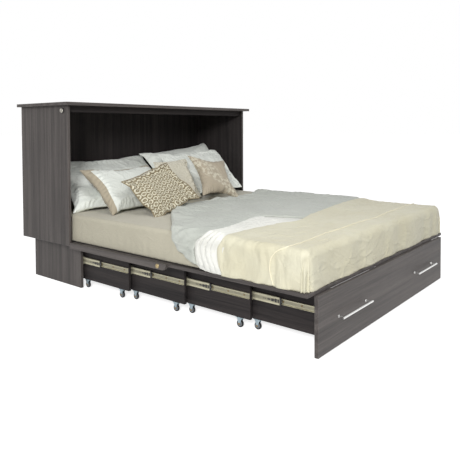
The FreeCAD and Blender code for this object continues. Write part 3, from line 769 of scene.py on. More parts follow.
# ---------------------------------------------------------------- turning, folding and cutting
class Shape:
    """A mesh under construction; each solid added to it takes one of its finishes."""

    def __init__(self) -> None:
        """Start empty."""
        self.bm = bmesh.new()

    def _paint(self, before: set, finish: int) -> None:
        """Give the faces that weren't there before their finish.

        Args:
            before: the faces that were there.
            finish: number of the finish.
        """
        for face in self.bm.faces:
            if face not in before:
                face.material_index = finish

    def block(self, low: Sequence[float], high: Sequence[float], bevel: float = 0.0, finish: int = 0,
              segments: int = 2) -> None:
        """Add a box with rounded edges.

        Args:
            low: its lowest corner.
            high: its highest corner.
            bevel: radius of its edges.
            finish: number of its finish.
            segments: steps round each edge.
        """
        before = set(self.bm.faces)
        low, high = (Vector(map(min, zip(low, high))), Vector(map(max, zip(low, high))))
        made = bmesh.ops.create_cube(self.bm, size=1.0, matrix=Matrix.Translation((low + high) / 2)
                                     @ Matrix.Diagonal((*(high - low), 1.0)))["verts"]
        if bevel:
            edges = list({edge for vert in made for edge in vert.link_edges})
            bmesh.ops.bevel(self.bm, geom=edges, offset=bevel, segments=segments, affect="EDGES",
                            profile=0.5, material=-1)
        self._paint(before, finish)

    def lathe(self, profile: Sequence[tuple[float, float]], centre: Sequence[float],
              axis: Sequence[float], steps: int = 32, finishes: Sequence[int] | None = None) -> None:
        """Spin an outline round an axis into a closed solid.

        Args:
            profile: points as (distance along the axis, radius), both ends on the axis.
            centre: where distance 0 is.
            axis: direction of the axis.
            steps: segments in the full turn.
            finishes: finish of each step of the outline, or None for the first finish throughout.
        """
        centre, axis = Vector(centre), Vector(axis).normalized()
        side = axis.orthogonal().normalized()
        known, faces = set(self.bm.verts), set(self.bm.faces)
        verts = [self.bm.verts.new(centre + axis * along + side * radius) for along, radius in profile]
        edges = [self.bm.edges.new(pair) for pair in zip(verts, verts[1:])]
        bmesh.ops.spin(self.bm, geom=verts + edges, cent=centre, axis=axis, angle=2 * math.pi,
                       steps=steps, use_merge=True, use_duplicate=False)
        bmesh.ops.remove_doubles(self.bm, verts=[v for v in self.bm.verts if v not in known], dist=1e-6)
        fresh = [face for face in self.bm.faces if face not in faces]
        bmesh.ops.recalc_face_normals(self.bm, faces=fresh)
        for face in fresh:
            face.material_index = 0
            if finishes is not None:
                middle = face.calc_center_median() - centre
                along = middle.dot(axis)
                radius = (middle - axis * along).length
                nearest = min(range(len(profile) - 1), key=lambda n: self._off(profile, n, along, radius))
                face.material_index = finishes[nearest]

    @staticmethod
    def _off(profile: Sequence[tuple[float, float]], number: int, along: float, radius: float) -> float:
        """How far a point is from the middle of one step of an outline."""
        (a0, r0), (a1, r1) = profile[number], profile[number + 1]
        return math.hypot((a0 + a1) / 2 - along, (r0 + r1) / 2 - radius)

    def plate(self, points: Sequence[Sequence[float]], push: Sequence[float], bevel: float = 0.0,
              finish: int = 0) -> None:
        """Push a flat outline into a solid.

        Args:
            points: the outline's corners in order.
            push: how far and which way.
            bevel: radius of its edges.
            finish: number of its finish.
        """
        before = set(self.bm.faces)
        face = self.bm.faces.new([self.bm.verts.new(p) for p in points])
        made = bmesh.ops.extrude_face_region(self.bm, geom=[face], use_keep_orig=True)["geom"]
        verts = [item for item in made if isinstance(item, bmesh.types.BMVert)]
        bmesh.ops.translate(self.bm, vec=push, verts=verts)
        fresh = [f for f in self.bm.faces if f not in before]
        bmesh.ops.recalc_face_normals(self.bm, faces=fresh)
        if bevel:
            edges = list({edge for f in fresh for edge in f.edges})
            bmesh.ops.bevel(self.bm, geom=edges, offset=bevel, segments=2, affect="EDGES", profile=0.5,
                            material=-1)
        self._paint(before, finish)

    def rolled(self, outline: Sequence[Sequence[float]], push: Sequence[float], gauge: float,
               finish: int = 0) -> None:
        """Push an open outline along a line and give it the thickness of sheet metal.

        Args:
            outline: the open outline's points.
            push: how far and which way.
            gauge: the sheet's thickness, to the inside of the outline.
            finish: number of its finish.
        """
        before = set(self.bm.faces)
        verts = [self.bm.verts.new(p) for p in outline]
        edges = [self.bm.edges.new(pair) for pair in zip(verts, verts[1:])]
        made = bmesh.ops.extrude_edge_only(self.bm, edges=edges)["geom"]
        bmesh.ops.translate(self.bm, vec=push, verts=[i for i in made if isinstance(i, bmesh.types.BMVert)])
        fresh = [f for f in self.bm.faces if f not in before]
        bmesh.ops.recalc_face_normals(self.bm, faces=fresh)
        bmesh.ops.solidify(self.bm, geom=fresh, thickness=gauge)
        bmesh.ops.recalc_face_normals(self.bm, faces=[f for f in self.bm.faces if f not in before])
        self._paint(before, finish)


# ---------------------------------------------------------------- fittings
@dataclass
class Slides:
    """Ball-bearing slides: rolled middle members with their levers and end stops, and the screws."""

    shop: Workshop
    height: float = 0.0354
    depth: float = 0.0084
    gauge: float = 0.0011
    groove: float = 0.0011
    stop_length: float = 0.009
    cage_length: float = 0.09
    slots: tuple[float, ...] = (0.032, 0.128, 0.224, 0.328)

    def channel(self, shape: Shape, web: float, side: int, front: float, rear: float, middle: float) -> None:
        """Middle member as rolled sheet: curled raceways, and a pressed groove along its web.

        Args:
            shape: the mesh that takes it.
            web: x of the web's outer face.
            side: -1 on the bed's left, 1 on its right.
            front: y of its front end.
            rear: y of its rear end.
            middle: z of its middle.
        """
        half = self.height / 2
        lower = [(self.depth, 0.0150), (self.depth, half - 0.0011), (self.depth - 0.0010, half),
                 (0.0016, half), (0.0004, half - 0.0007), (0.0, half - 0.0020), (0.0, 0.0094),
                 (self.groove, 0.0080)]
        outline = [(web - side * inward, front, middle - up) for inward, up in lower]
        outline += [(x, y, 2 * middle - z) for x, y, z in reversed(outline)]
        shape.rolled(outline, (0.0, rear - front, 0.0), self.gauge)

    def fittings(self, shape: Shape, web: float, side: int, front: float, middle: float) -> None:
        """Lever, rivets and end stop at the front of a middle member.

        Args:
            shape: the mesh that takes it.
            web: x of the web's outer face.
            side: -1 on the bed's left, 1 on its right.
            front: y of its front end.
            middle: z of its middle.
        """
        floor = web - side * self.groove
        for start, end, half in ((0.004, 0.011, 0.0075), (0.016, 0.026, 0.0078), (0.032, 0.046, 0.0062),
                                 (0.050, 0.066, 0.0030)):
            shape.block((floor, front + start, middle - half), (web - side * 0.0001, front + end,
                                                                middle + half), 0.0005, 1)
        shape.block((floor, front + 0.0255, middle - 0.0012), (web - side * 0.0001, front + 0.033,
                                                               middle + 0.0034), 0.0004, 1)
        for along in (0.076, 0.086, 0.335):
            shape.lathe([(0.0, 0.0), (0.0, 0.0034), (0.0006, 0.0032), (0.0009, 0.0022), (0.0009, 0.0)],
                        (floor, front + along, middle), (side, 0, 0), 16, [1, 0, 0, 1])
        half, open_half, wall = self.height / 2, 0.0132, 0.0029
        deep = web - side * (self.depth + 0.0010)
        near, far = front - self.stop_length, front
        shape.block((web, near, middle - half), (web - side * wall, far, middle + half), 0.0007, 1)
        for up in (-1, 1):
            shape.block((web - side * wall, near, middle + up * open_half), (deep, far, middle + up * half),
                        0.0006, 1)
        shape.block((web - side * 0.0002, near - 0.0005, middle - 0.004),
                    (web - side * 0.0016, near + 0.003, middle + 0.004), 0.0003, 2)

    def cages(self, shape: Shape, web: float, side: int, front: float, outer_front: float,
              middle: float) -> None:
        """Ball cages above and below, in the outer and in the middle member.

        Args:
            shape: the mesh that takes it.
            web: x of the web's outer face.
            side: -1 on the bed's left, 1 on its right.
            front: y of its front end.
            outer_front: y where the outer cages begin.
            middle: z of its middle.
        """
        for up in (-1, 1):
            shape.block((web - side * 0.0003, outer_front, middle + up * 0.0180),
                        (web - side * 0.0059, outer_front + self.cage_length, middle + up * 0.0210),
                        0.0004, 1)
            shape.block((web - side * 0.0015, front + 0.008, middle + up * 0.0132),
                        (web - side * 0.0069, front + 0.008 + self.cage_length, middle + up * 0.0162),
                        0.0004, 1)
            for number in range(9):
                step = 0.005 + number * 0.010
                for y, z in ((outer_front + step, 0.0195), (front + 0.008 + step, 0.0147)):
                    bmesh.ops.create_icosphere(shape.bm, subdivisions=1, radius=0.0019, matrix=
                                               Matrix.Translation((web - side * 0.0035, y, middle + up * z)))

    def screws(self, number: int) -> None:
        """Pan-head screws in the slots of the inner members.

        Args:
            number: number of the slide.
        """
        low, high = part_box(f"slide_{number}_inner_members")
        middle = (low.z + high.z) / 2
        shape = Shape()
        for side in (-1, 1):
            face = side * (high.x - 0.0076 + 0.0012)
            for along in self.slots:
                place = (face, low.y + along, middle)
                # The recess in each head takes the black finish as painted shade.
                shape.lathe([(0.0, 0.0), (0.0, 0.0037), (0.0009, 0.0036), (0.0019, 0.0024), (0.0021, 0.0012),
                             (0.0013, 0.0009), (0.0013, 0.0)], place, (side, 0, 0), 16, [0, 0, 0, 0, 1, 1])
        self.shop.piece(f"slide_{number}_screws", shape.bm, ("screw_zinc", "black_plastic_and_painted_shade"),
                        f"section_{number}", "zinc_steel")

    def build(self) -> None:
        """Make all four pairs."""
        for number in SECTIONS:
            low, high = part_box(f"slide_{number}_middle_members")
            outer_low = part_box(f"slide_{number}_outer_members")[0]
            front = low.y + self.stop_length
            shape = Shape()
            for side in (-1, 1):
                web = side * high.x
                self.channel(shape, web, side, front, high.y, RACEWAY_HEIGHT)
                self.fittings(shape, web, side, front, RACEWAY_HEIGHT)
                self.cages(shape, web, side, front, outer_low.y + 0.008, RACEWAY_HEIGHT)
            member = self.shop.piece(f"slide_{number}_middle_pair", shape.bm,
                                     ("slide_zinc", "black_plastic_and_painted_shade", "hub_plastic"),
                                     f"slide_{number}_middle", "zinc_steel", 30)
            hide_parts(f"slide_{number}_middle_members")
            self.screws(number)
            self.shop.dress(f"slide_{number}_outer_members", "slide_zinc")
            self.shop.dress(f"slide_{number}_inner_members", "slide_zinc")


@dataclass
class Casters:
    """Fixed casters: rubber-tyred wheels in folded steel forks."""

    shop: Workshop
    radius: float = 0.018
    half_width: float = 0.006
    fork_half: float = 0.009
    sheet: float = 0.002
    plate_half: float = 0.023
    top: float = 0.048

    def wheel(self, shape: Shape, centre: Vector) -> None:
        """Tyre with rounded shoulders on a dished hub.

        Args:
            shape: the mesh that takes it.
            centre: centre of the wheel.
        """
        shoulder = [(0.0050, 0.0), (0.0050, 0.0046), (0.0038, 0.0054), (0.0038, 0.0098), (0.0050, 0.0110),
                    (0.0050, 0.0124), (0.0060, 0.0134), (0.0059, 0.0156), (0.0048, 0.0172), (0.0030, 0.0180)]
        profile = [(-along, radius) for along, radius in shoulder]
        profile += [(along, radius) for along, radius in reversed(shoulder)]
        hub_steps = 5
        tyre_steps = len(profile) - 1 - 2 * hub_steps
        finishes = [1] * hub_steps + [0] * tyre_steps + [1] * hub_steps
        shape.lathe(profile, centre, (1, 0, 0), 40, finishes)

    def fork(self, shape: Shape, x: float, y: float) -> None:
        """Top plate, tapered cheeks, axle bolt and nut.

        Args:
            shape: the mesh that takes it.
            x: x of the fork's middle.
            y: y of its axle.
        """
        shape.block((x - self.fork_half, y - self.plate_half, self.top - self.sheet),
                    (x + self.fork_half, y + self.plate_half, self.top), 0.0007)
        outline = [(-0.017, self.top - 0.0004), (0.017, self.top - 0.0004), (0.0108, 0.037), (0.0056, 0.0188),
                   (0.0046, 0.0146), (0.0, 0.0130), (-0.0046, 0.0146), (-0.0056, 0.0188), (-0.0108, 0.037)]
        for side in (-1, 1):
            inside = x + side * (self.fork_half - self.sheet)
            shape.plate([(inside, y + along, z) for along, z in outline], (side * self.sheet, 0, 0), 0.0005)
            shape.lathe([(-0.0002, 0.0), (-0.0002, 0.0046), (0.0011, 0.0044), (0.0016, 0.0034),
                         (0.0016, 0.0)], (x + side * self.fork_half, y, self.radius), (side, 0, 0),
                        6 if side > 0 else 24, [1, 1, 1, 1])
        shape.lathe([(-self.fork_half, 0.0), (-self.fork_half, 0.0025), (self.fork_half, 0.0025),
                     (self.fork_half, 0.0)], (x, y, self.radius), (1, 0, 0), 16, [1, 1, 1])
        for along in (-0.0195, 0.0195):
            shape.lathe([(0.0, 0.0), (0.0, 0.0026), (-0.0010, 0.0024), (-0.0014, 0.0012), (-0.0014, 0.0)],
                        (x, y + along, self.top - self.sheet), (0, 0, 1), 12, [1, 1, 1, 1])

    def build(self) -> None:
        """Make the casters of all four sections."""
        for number in SECTIONS:
            forks = Shape()
            for end in ("front", "rear") if number < SECTIONS[-1] else ("rear",):
                node = f"section_{number}_{end}_wheels"
                low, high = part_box(node)
                x, y = high.x - self.half_width, (low.y + high.y) / 2
                wheels = Shape()
                for side in (-1, 1):
                    self.wheel(wheels, Vector((side * x, y, self.radius)))
                    self.fork(forks, side * x, y)
                pair = self.shop.piece(f"{node}_tyred", wheels.bm, ("tyre_rubber", "hub_plastic"),
                                       f"section_{number}_{end}_wheel_pair", "wheel_rubber", 30)
                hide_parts(node)
            made = self.shop.piece(f"section_{number}_forks", forks.bm, ("fork_steel", "screw_zinc"),
                                   f"section_{number}", "caster_steel", 30)
            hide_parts(f"section_{number}_caster_forks")


@dataclass
class Handles:
    """Bar pulls on the foot panel, studs on the rails and the turning catches."""

    shop: Workshop
    bar_radius: float = 0.005
    bar_half: float = 0.143
    post_radius: float = 0.0045
    post_half_span: float = 0.128
    stud_radius: float = 0.011
    catch_face: float = 0.8029
    catch_nut_face: float = 0.7836

    def pulls(self) -> None:
        """Two brushed bars on collared posts."""
        low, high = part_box("bar_pulls")
        panel_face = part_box("foot_panel")[0].y
        z, y = (low.z + high.z) / 2, low.y + self.bar_radius
        shape = Shape()
        radius, half = self.bar_radius, self.bar_half
        for side in (-1, 1):
            x = side * (high.x - half)
            ends = [(-half, 0.0), (-half, radius - 0.0007), (-half + 0.0007, radius)]
            profile = ends + [(-along, r) for along, r in reversed(ends)]
            shape.lathe(profile, (x, y, z), (1, 0, 0), 36)
            reach = panel_face - y
            post = self.post_radius
            for shift in (-self.post_half_span, self.post_half_span):
                shape.lathe([(0.0, 0.0), (0.0, post), (reach - 0.0032, post), (reach - 0.0016, 0.0062),
                             (reach - 0.0001, 0.0065), (reach - 0.0001, 0.0)],
                            (x + shift, y, z), (0, 1, 0), 28)
        pulls = self.shop.piece("bar_pulls_brushed", shape.bm, ("pull_steel",), "section_4",
                                "brushed_pull", 30)
        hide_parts("bar_pulls")

    def studs(self) -> None:
        """Domed bolt head on each rail, with a ring turned into it."""
        low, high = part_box("panel_studs")
        seat, y, z = high.x - 0.005, (low.y + high.y) / 2, (low.z + high.z) / 2
        edge = self.stud_radius
        shape = Shape()
        for side in (-1, 1):
            shape.lathe([(0.0, 0.0), (0.0, edge), (0.0016, edge), (0.0030, edge - 0.0012), (0.0040, 0.0070),
                         (0.0036, 0.0062), (0.0044, 0.0052), (0.0049, 0.0026), (0.0050, 0.0)],
                        (side * seat, y, z), (side, 0, 0), 36)
        studs = self.shop.piece("rail_studs", shape.bm, ("stud_brass",), "front_panel", "hinge_steel", 30)
        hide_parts("panel_studs")

    def catches(self) -> None:
        """Turning catch: a ring round a dark coin slot, its shaft, and the nut inside the cabinet."""
        for side, name in ((-1, "left"), (1, "right")):
            node = f"catch_knob_{name}"
            low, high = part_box(node)
            centre = (0.0, (low.y + high.y) / 2, (low.z + high.z) / 2)
            face, nut = self.catch_face, self.catch_nut_face
            shape = Shape()
            # The floor of the recess round the tab takes the black finish as painted shade.
            shape.lathe([(face, 0.0), (face, 0.0125), (face + 0.0044, 0.0125), (face + 0.0060, 0.0110),
                         (face + 0.0060, 0.0086), (face + 0.0042, 0.0076), (face + 0.0042, 0.0)],
                        centre, (side, 0, 0), 36, [0, 0, 0, 0, 0, 1])
            shape.block((side * (face + 0.0042), centre[1] - 0.0011, centre[2] - 0.0066),
                        (side * (face + 0.0055), centre[1] + 0.0011, centre[2] + 0.0066), 0.0004, 0)
            shape.lathe([(nut, 0.0), (nut, 0.004), (face, 0.004), (face, 0.0)], centre, (side, 0, 0), 20)
            shape.lathe([(nut - 0.0036, 0.0), (nut - 0.0036, 0.0076), (nut - 0.0030, 0.0083),
                         (nut, 0.0083), (nut, 0.0)], centre, (side, 0, 0), 6)
            knob = self.shop.piece(f"catch_{name}_knob_ringed", shape.bm, ("catch_ring", "black_plastic_and_painted_shade"),
                                   f"catch_{name}", "hinge_steel", 30)
            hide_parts(node)
        self.shop.dress("catch_plates", "black_plastic_and_painted_shade")

    def build(self) -> None:
        """Make every handle and fastener."""
        self.pulls()
        self.studs()
        self.catches()


@dataclass
class Hinges:
    """Fold hinges and leaf hinges, with their countersunk screws."""

    shop: Workshop
    screw_radius: float = 0.0034
    rows: tuple[float, ...] = (-0.026, -0.009, 0.009, 0.026)

    def build(self) -> None:
        """Dress the hinges and set their screws."""
        for node in ("fold_hinge_brackets", "fold_hinge_pins", "leaf_hinge_panel_plates",
                     "leaf_hinge_leaf_plates"):
            self.shop.dress(node, "hinge_steel")
        low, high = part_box("leaf_hinge_panel_plates")
        leaf_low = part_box("leaf_hinge_leaf_plates")[0]
        reach = high.x - 0.0375
        for name, body, y in (("panel", "front_panel", high.y - 0.010), ("leaf", "leaf", leaf_low.y + 0.010)):
            shape = Shape()
            for x in (-reach, 0.0, reach):
                for shift in self.rows:
                    # The recess in each head takes the black finish as painted shade.
                    shape.lathe([(-0.0004, 0.0), (-0.0004, self.screw_radius), (0.0001, self.screw_radius),
                                 (0.0001, 0.0026), (-0.0002, 0.0010), (-0.0002, 0.0)],
                                (x + shift, y, DECK_TOP), (0, 0, 1), 16, [0, 0, 0, 1, 1])
            self.shop.piece(f"{name}_hinge_screws", shape.bm, ("hinge_steel", "black_plastic_and_painted_shade"), body,
                            "hinge_steel", 30)


# ---------------------------------------------------------------- boards
@dataclass
class Boards:
    """Every laminated board, with its grain the way it is cut."""

    shop: Workshop
    finishes: dict = field(default_factory=lambda: {
        "cabinet_side_left": "laminate_shell", "cabinet_side_right": "laminate_shell",
        # The back, floor and top rail inside the cabinet take laminate darkened as painted shade.
        "cabinet_top": "laminate_across", "cabinet_back": "inner_upright",
        "cabinet_floor": "inner_across", "top_front_rail": "inner_across",
        "plinth_side_left": "laminate_upright", "plinth_side_right": "laminate_upright",
        "plinth_back_board": "laminate_across", "front_panel_board": "laminate_across",
        "front_panel_rails": "laminate_lengthways", "leaf_board": "laminate_lengthways",
        "foot_panel": "laminate_across",
    })

    def build(self) -> None:
        """Dress the boards and the four boxes."""
        for node, finish in self.finishes.items():
            self.shop.dress(node, finish)
        for number in SECTIONS:
            # The boxes under the deck take laminate darkened as painted shade.
            self.shop.dress(f"section_{number}_box", "shaded_lengthways")


# ---------------------------------------------------------------- bedding
def eased(value: float) -> float:
    """Smooth step from 0 to 1, held at both ends."""
    value = min(max(value, 0.0), 1.0)
    return value * value * (3 - 2 * value)


def wander(x: float, y: float, scale: float, seed: float = 0.0) -> float:
    """Slow repeatable wandering between about -1 and 1."""
    return noise.noise(Vector((x / scale, y / scale, seed)))


def crinkle(x: float, y: float, scale: float, seed: float = 0.0) -> float:
    """Sharp-crested creases, from 0 in the hollows to 1 on the crests.

    Args:
        x: place on the cloth.
        y: place on the cloth.
        scale: width of a crease, in metres.
        seed: number that tells one cloth from the next.

    Returns:
        The height share.
    """
    bend = 0.6 * scale * wander(x, y, 1.7 * scale, seed + 50)
    crest = max(0.0, 1 - abs(wander(x + bend, y - bend, scale, seed)) / 0.16)
    return crest * crest * (0.4 + 0.6 * min(1.0, abs(wander(x, y, 2.1 * scale, seed + 70)) * 3))


def rounded(distance: float, reach: float) -> float:
    """Height share of a rounded nose, from 0 at its tip to 1 where it has its full height."""
    share = min(max(distance / reach, 0.0), 1.0)
    return math.sqrt(1 - (1 - share) ** 2)


class Course:
    """Smooth line y(s) through points sewn or folded across the covers, in metres."""

    def __init__(self, *points: tuple[float, float]) -> None:
        """Keep the points, given in millimetres as (round the covers, along the bed)."""
        self.points = [(s * MM, y * MM) for s, y in points]

    def __call__(self, s: float) -> float:
        """Place along the bed at a distance round the covers.

        Args:
            s: distance round the covers from the left hem.

        Returns:
            The distance along.
        """
        points = self.points
        if s <= points[0][0]:
            return points[0][1]
        if s >= points[-1][0]:
            return points[-1][1]
        number = max(n for n in range(len(points) - 1) if points[n][0] <= s)
        (s1, y1), (s2, y2) = points[number], points[number + 1]
        s0, y0 = points[max(number - 1, 0)]
        s3, y3 = points[min(number + 2, len(points) - 1)]
        slope1 = (y2 - y0) / (s2 - s0)
        slope2 = (y3 - y1) / (s3 - s1)
        span, t = s2 - s1, (s - s1) / (s2 - s1)
        return ((2 * t ** 3 - 3 * t ** 2 + 1) * y1 + (t ** 3 - 2 * t ** 2 + t) * span * slope1
                + (3 * t ** 2 - 2 * t ** 3) * y2 + (t ** 3 - t ** 2) * span * slope2)


@dataclass(frozen=True)
class Drape:
    """The made-up bed as a surface: cloth distances across and along it, to places in space.

    The distance across, s, starts at the left hem, climbs the side, crosses the top and ends at the
    right hem. The distance along, y, is the bed's own while it is on top and runs on down both ends.
    """

    half: float = 0.783
    low: float = DECK_TOP
    top: float = 0.450
    edge: float = 0.040
    foot: float = -1.0113
    head: float = 1.0560

    @property
    def fall(self) -> float:
        """Cloth from the flat top to the hem."""
        return self.edge * math.pi / 2 + self.top - self.edge - self.low

    @property
    def girth(self) -> float:
        """Cloth from hem to hem."""
        return 2 * (self.fall + self.half - self.edge)

    @property
    def foot_hem(self) -> float:
        """Distance along at the hem of the foot end."""
        return self.foot + self.edge - self.fall

    def place(self, s: float, y: float, lift: float = 0.0) -> Vector:
        """Where a point of the cloth lies, lifted off the surface along its normal.

        Args:
            s: distance round the covers from the left hem.
            y: distance along the bed.
            lift: distance off the surface.

        Returns:
            The place.
        """
        flat = self.half - self.edge
        x = s - self.fall - flat
        over_x, over_y = abs(x) - flat, max(self.foot + self.edge - y, y - self.head + self.edge)
        over_x, over_y = max(over_x, 0.0), max(over_y, 0.0)
        sign_x = -1.0 if x < 0 else 1.0
        sign_y = -1.0 if y < 0 else 1.0
        base = Vector((min(max(x, -flat), flat),
                       min(max(y, self.foot + self.edge), self.head - self.edge), self.top - self.edge))
        beyond = max(over_x, over_y)
        if beyond == 0.0:
            return base + Vector((0.0, 0.0, self.edge + lift))
        if over_x >= over_y:
            turn = math.pi / 4 * over_y / over_x
        else:
            turn = math.pi / 2 - math.pi / 4 * over_x / over_y
        out = Vector((sign_x * math.cos(turn), sign_y * math.sin(turn), 0.0))
        arc = self.edge * math.pi / 2
        if beyond < arc:
            angle = beyond / self.edge
            normal = out * math.sin(angle) + Vector((0.0, 0.0, math.cos(angle)))
            return base + normal * (self.edge + lift)
        return base + out * (self.edge + lift) - Vector((0.0, 0.0, beyond - arc))


class Cut:
    """Pieces of cloth cut as a grid and laid on the bed."""

    def __init__(self, columns: int, rows: int) -> None:
        """Set how finely the cloth is divided."""
        self.columns, self.rows = columns, rows
        self.bm = bmesh.new()

    def lay(self, cloth: Callable[[float, float], tuple[float, float]],
            place: Callable[[float, float, float, float], Vector], flip: bool = False) -> None:
        """Add one layer.

        Args:
            cloth: shares across and along the piece, from 0 to 1, to cloth distances in metres.
            place: shares and cloth distances to the place in space.
            flip: turn its faces over.
        """
        layer = self.bm.loops.layers.uv.get("cloth") or self.bm.loops.layers.uv.new("cloth")
        known = set(self.bm.faces)
        made = bmesh.ops.create_grid(self.bm, x_segments=self.columns, y_segments=self.rows,
                                     size=1.0)["verts"]
        flat = {}
        for vert in made:
            across, along = (vert.co.x + 1) / 2, (vert.co.y + 1) / 2
            s, y = cloth(across, along)
            flat[vert] = (s, y)
            vert.co = place(across, along, s, y)
        fresh = [face for face in self.bm.faces if face not in known]
        for face in fresh:
            for loop in face.loops:
                loop[layer].uv = flat[loop.vert]
        if flip:
            bmesh.ops.reverse_faces(self.bm, faces=fresh)

    def close(self) -> bmesh.types.BMesh:
        """Sew the layers together where they meet, and turn every face outwards.

        Returns:
            The closed mesh.
        """
        bmesh.ops.remove_doubles(self.bm, verts=self.bm.verts, dist=2e-6)
        bmesh.ops.recalc_face_normals(self.bm, faces=self.bm.faces)
        return self.bm


def to_ends(share: float, pull: float = 0.6) -> float:
    """Share moved so that a grid is finer at both its ends."""
    return share - pull * math.sin(2 * math.pi * share) / (2 * math.pi)


@dataclass
class Bedding:
    """Mattress, fitted sheet, duvet with its turned-back end and lining, and the coverlet."""

    shop: Workshop
    drape: Drape = Drape()
    sheet_lift: float = -0.0193
    turned_edge: Course = Course((0, -575), (1, -574), (6, -473), (22, -418), (42, -361), (76, -303),
                                 (122, -268), (164, -243), (285, -123), (485, 88), (669, 232), (826, 268),
                                 (971, 270), (1130, 240), (1290, 216), (1460, 262), (1640, 345), (1880, 372))
    flap_end: Course = Course((26, -418), (82, -407), (133, -414), (174, -458), (282, -473), (481, -422),
                              (592, -393), (680, -396), (731, -440), (800, -600), (1880, -600))
    coverlet_head: Course = Course((0, -572), (18, -569), (62, -544), (109, -539), (156, -565), (227, -574),
                                   (420, -580), (550, -593), (697, -619), (895, -572), (1051, -544),
                                   (1423, -494), (1880, -480))
    piping_line: Course = Course((1, -844), (39, -831), (76, -826), (121, -835), (155, -863), (178, -895),
                                 (230, -903), (486, -885), (886, -877), (1537, -849), (1700, -846),
                                 (1760, -812), (1879, -824))
    duvet_end: float = -0.650
    hem_gap: float = 0.0012
    sheet_gauge: float = 0.0008
    lining_gauge: float = 0.0009
    coverlet_gauge: float = 0.0022
    sheet_flat: tuple[float, float] = (1.88, 2.42)
    lining_flat: tuple[float, float] = (0.82, 0.34)
    lining_area: float = 0.185
    coverlet_flat: tuple[float, float] = (1.88, 0.62)
    squash_anchor: Point = (0.0, 1.045, 0.0)
    squash_keep: float = 0.21

    def soften(self, piece: bpy.types.Object) -> None:
        """Give a piece its own copy of its mesh."""
        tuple(self.squash_anchor)
        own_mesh(piece)

    def mattress(self) -> None:
        """Foam block with rounded edges, under its fitted sheet."""
        low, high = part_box("mattress")
        shape = Shape()
        shape.block(low, high, 0.020, 0, 5)
        bmesh.ops.subdivide_edges(shape.bm, edges=[e for e in shape.bm.edges if e.calc_length() > 0.3],
                                  cuts=7, use_grid_fill=True)
        layer = shape.bm.loops.layers.uv.new("cloth")
        for face in shape.bm.faces:
            for loop in face.loops:
                loop[layer].uv = (loop.vert.co.x + loop.vert.co.z, loop.vert.co.y)
        core = self.shop.piece("mattress_core", shape.bm, ("mattress_ticking",), "cabinet",
                               "sheet_cotton", 40)
        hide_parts("mattress")
        self.soften(core)

    def sheet(self) -> None:
        """Fitted sheet, taut on top and faintly pleated down its sides."""
        drape = self.drape
        head_hem = drape.head - drape.edge + drape.fall
        rise = 0.006

        def cloth(across: float, along: float) -> tuple[float, float]:
            """Shares to cloth distances, just inside the hems."""
            return (rise + across * (drape.girth - 2 * rise),
                    drape.foot_hem + rise + along * (head_hem - drape.foot_hem - 2 * rise))

        def place(across: float, along: float, s: float, y: float) -> Vector:
            """Lay the sheet: slack and pleated only where it is bare.

            Args:
                across: not used.
                along: not used.
                s: distance round the covers from the left hem.
                y: distance along the bed.

            Returns:
                The place.
            """
            bare = eased((y - self.turned_edge(s)) / 0.05)
            down = eased((drape.fall - min(s, drape.girth - s)) / 0.05)
            pleat = 0.5 + 0.5 * math.sin(2 * math.pi * (y / 0.052 + 0.9 * wander(y, 0.0, 0.21, 3.0)))
            pleats = 0.0013 * down * pleat * eased((0.13 - min(s, drape.girth - s)) / 0.1)
            slack = 0.0022 * wander(s, y * 0.6, 0.11, 5.0) + 0.0012 * wander(s * 0.5, y, 0.035, 9.0)
            return drape.place(s, y, self.sheet_lift + bare * (pleats + max(slack, 0.0)))

        cut = Cut(230, 280)
        cut.lay(cloth, place)
        sheet = self.shop.piece("fitted_sheet", cut.close(), ("sheet_cotton",), "cabinet", "sheet_cotton")
        self.thicken(sheet, self.sheet_gauge)
        self.soften(sheet)

    @staticmethod
    def thicken(piece: bpy.types.Object, gauge: float) -> None:
        """Give a single layer of cloth its thickness, outwards.

        Args:
            piece: the layer.
            gauge: its thickness.
        """
        bm = bmesh.new()
        bm.from_mesh(piece.data)
        bmesh.ops.solidify(bm, geom=list(bm.faces), thickness=-gauge)
        bmesh.ops.recalc_face_normals(bm, faces=bm.faces)
        bm.to_mesh(piece.data)
        bm.free()

    def ripple(self, s: float, y: float, near: float) -> float:
        """Soft ripples that run in from the turned edge and die away.

        Args:
            s: distance round the covers from the left hem.
            y: distance along the bed.
            near: distance in from the turned edge.

        Returns:
            The height.
        """
        along = s + 0.45 * y
        wave = math.sin(2 * math.pi * (along / 0.150 + 1.6 * wander(s, y, 0.30, 11.0)))
        fine = math.sin(2 * math.pi * (along / 0.066 + 1.5 * wander(s, y, 0.17, 12.0)))
        uneven = 0.6 + 0.8 * abs(wander(s, y, 0.21, 15.0))
        fade = math.exp(-near / 0.32) * uneven
        broad = 0.0075 * wander(s, y, 0.19, 13.0) + crinkle(s * 1.9, y * 0.7, 0.11, 14.0) * 0.0040
        return fade * (0.0078 * wave + 0.0044 * fine) + broad

    def padded_layer(self, name: str, edge: Course, end: Callable[[float], float], first: float,
                     lifts: Callable[[float, float], tuple[float, float]], nose: float,
                     rippled: float) -> bpy.types.Object:
        """Closed stuffed layer between two lines across the bed.

        Args:
            name: the piece's name.
            edge: its edge towards the head.
            end: its edge towards the foot.
            first: how far round from the left hem it starts.
            lifts: distances round and along to the lifts of its under and upper side.
            nose: how far in from its edges it has its full thickness.
            rippled: share of the ripples on its upper side.

        Returns:
            The piece.
        """
        drape = self.drape
        last = drape.girth - 0.002

        def cloth(across: float, along: float) -> tuple[float, float]:
            """Shares to cloth distances, finer at the edges."""
            s = first + to_ends(across) * (last - first)
            return s, edge(s) + (min(end(s), edge(s) - 0.002) - edge(s)) * along ** 1.5

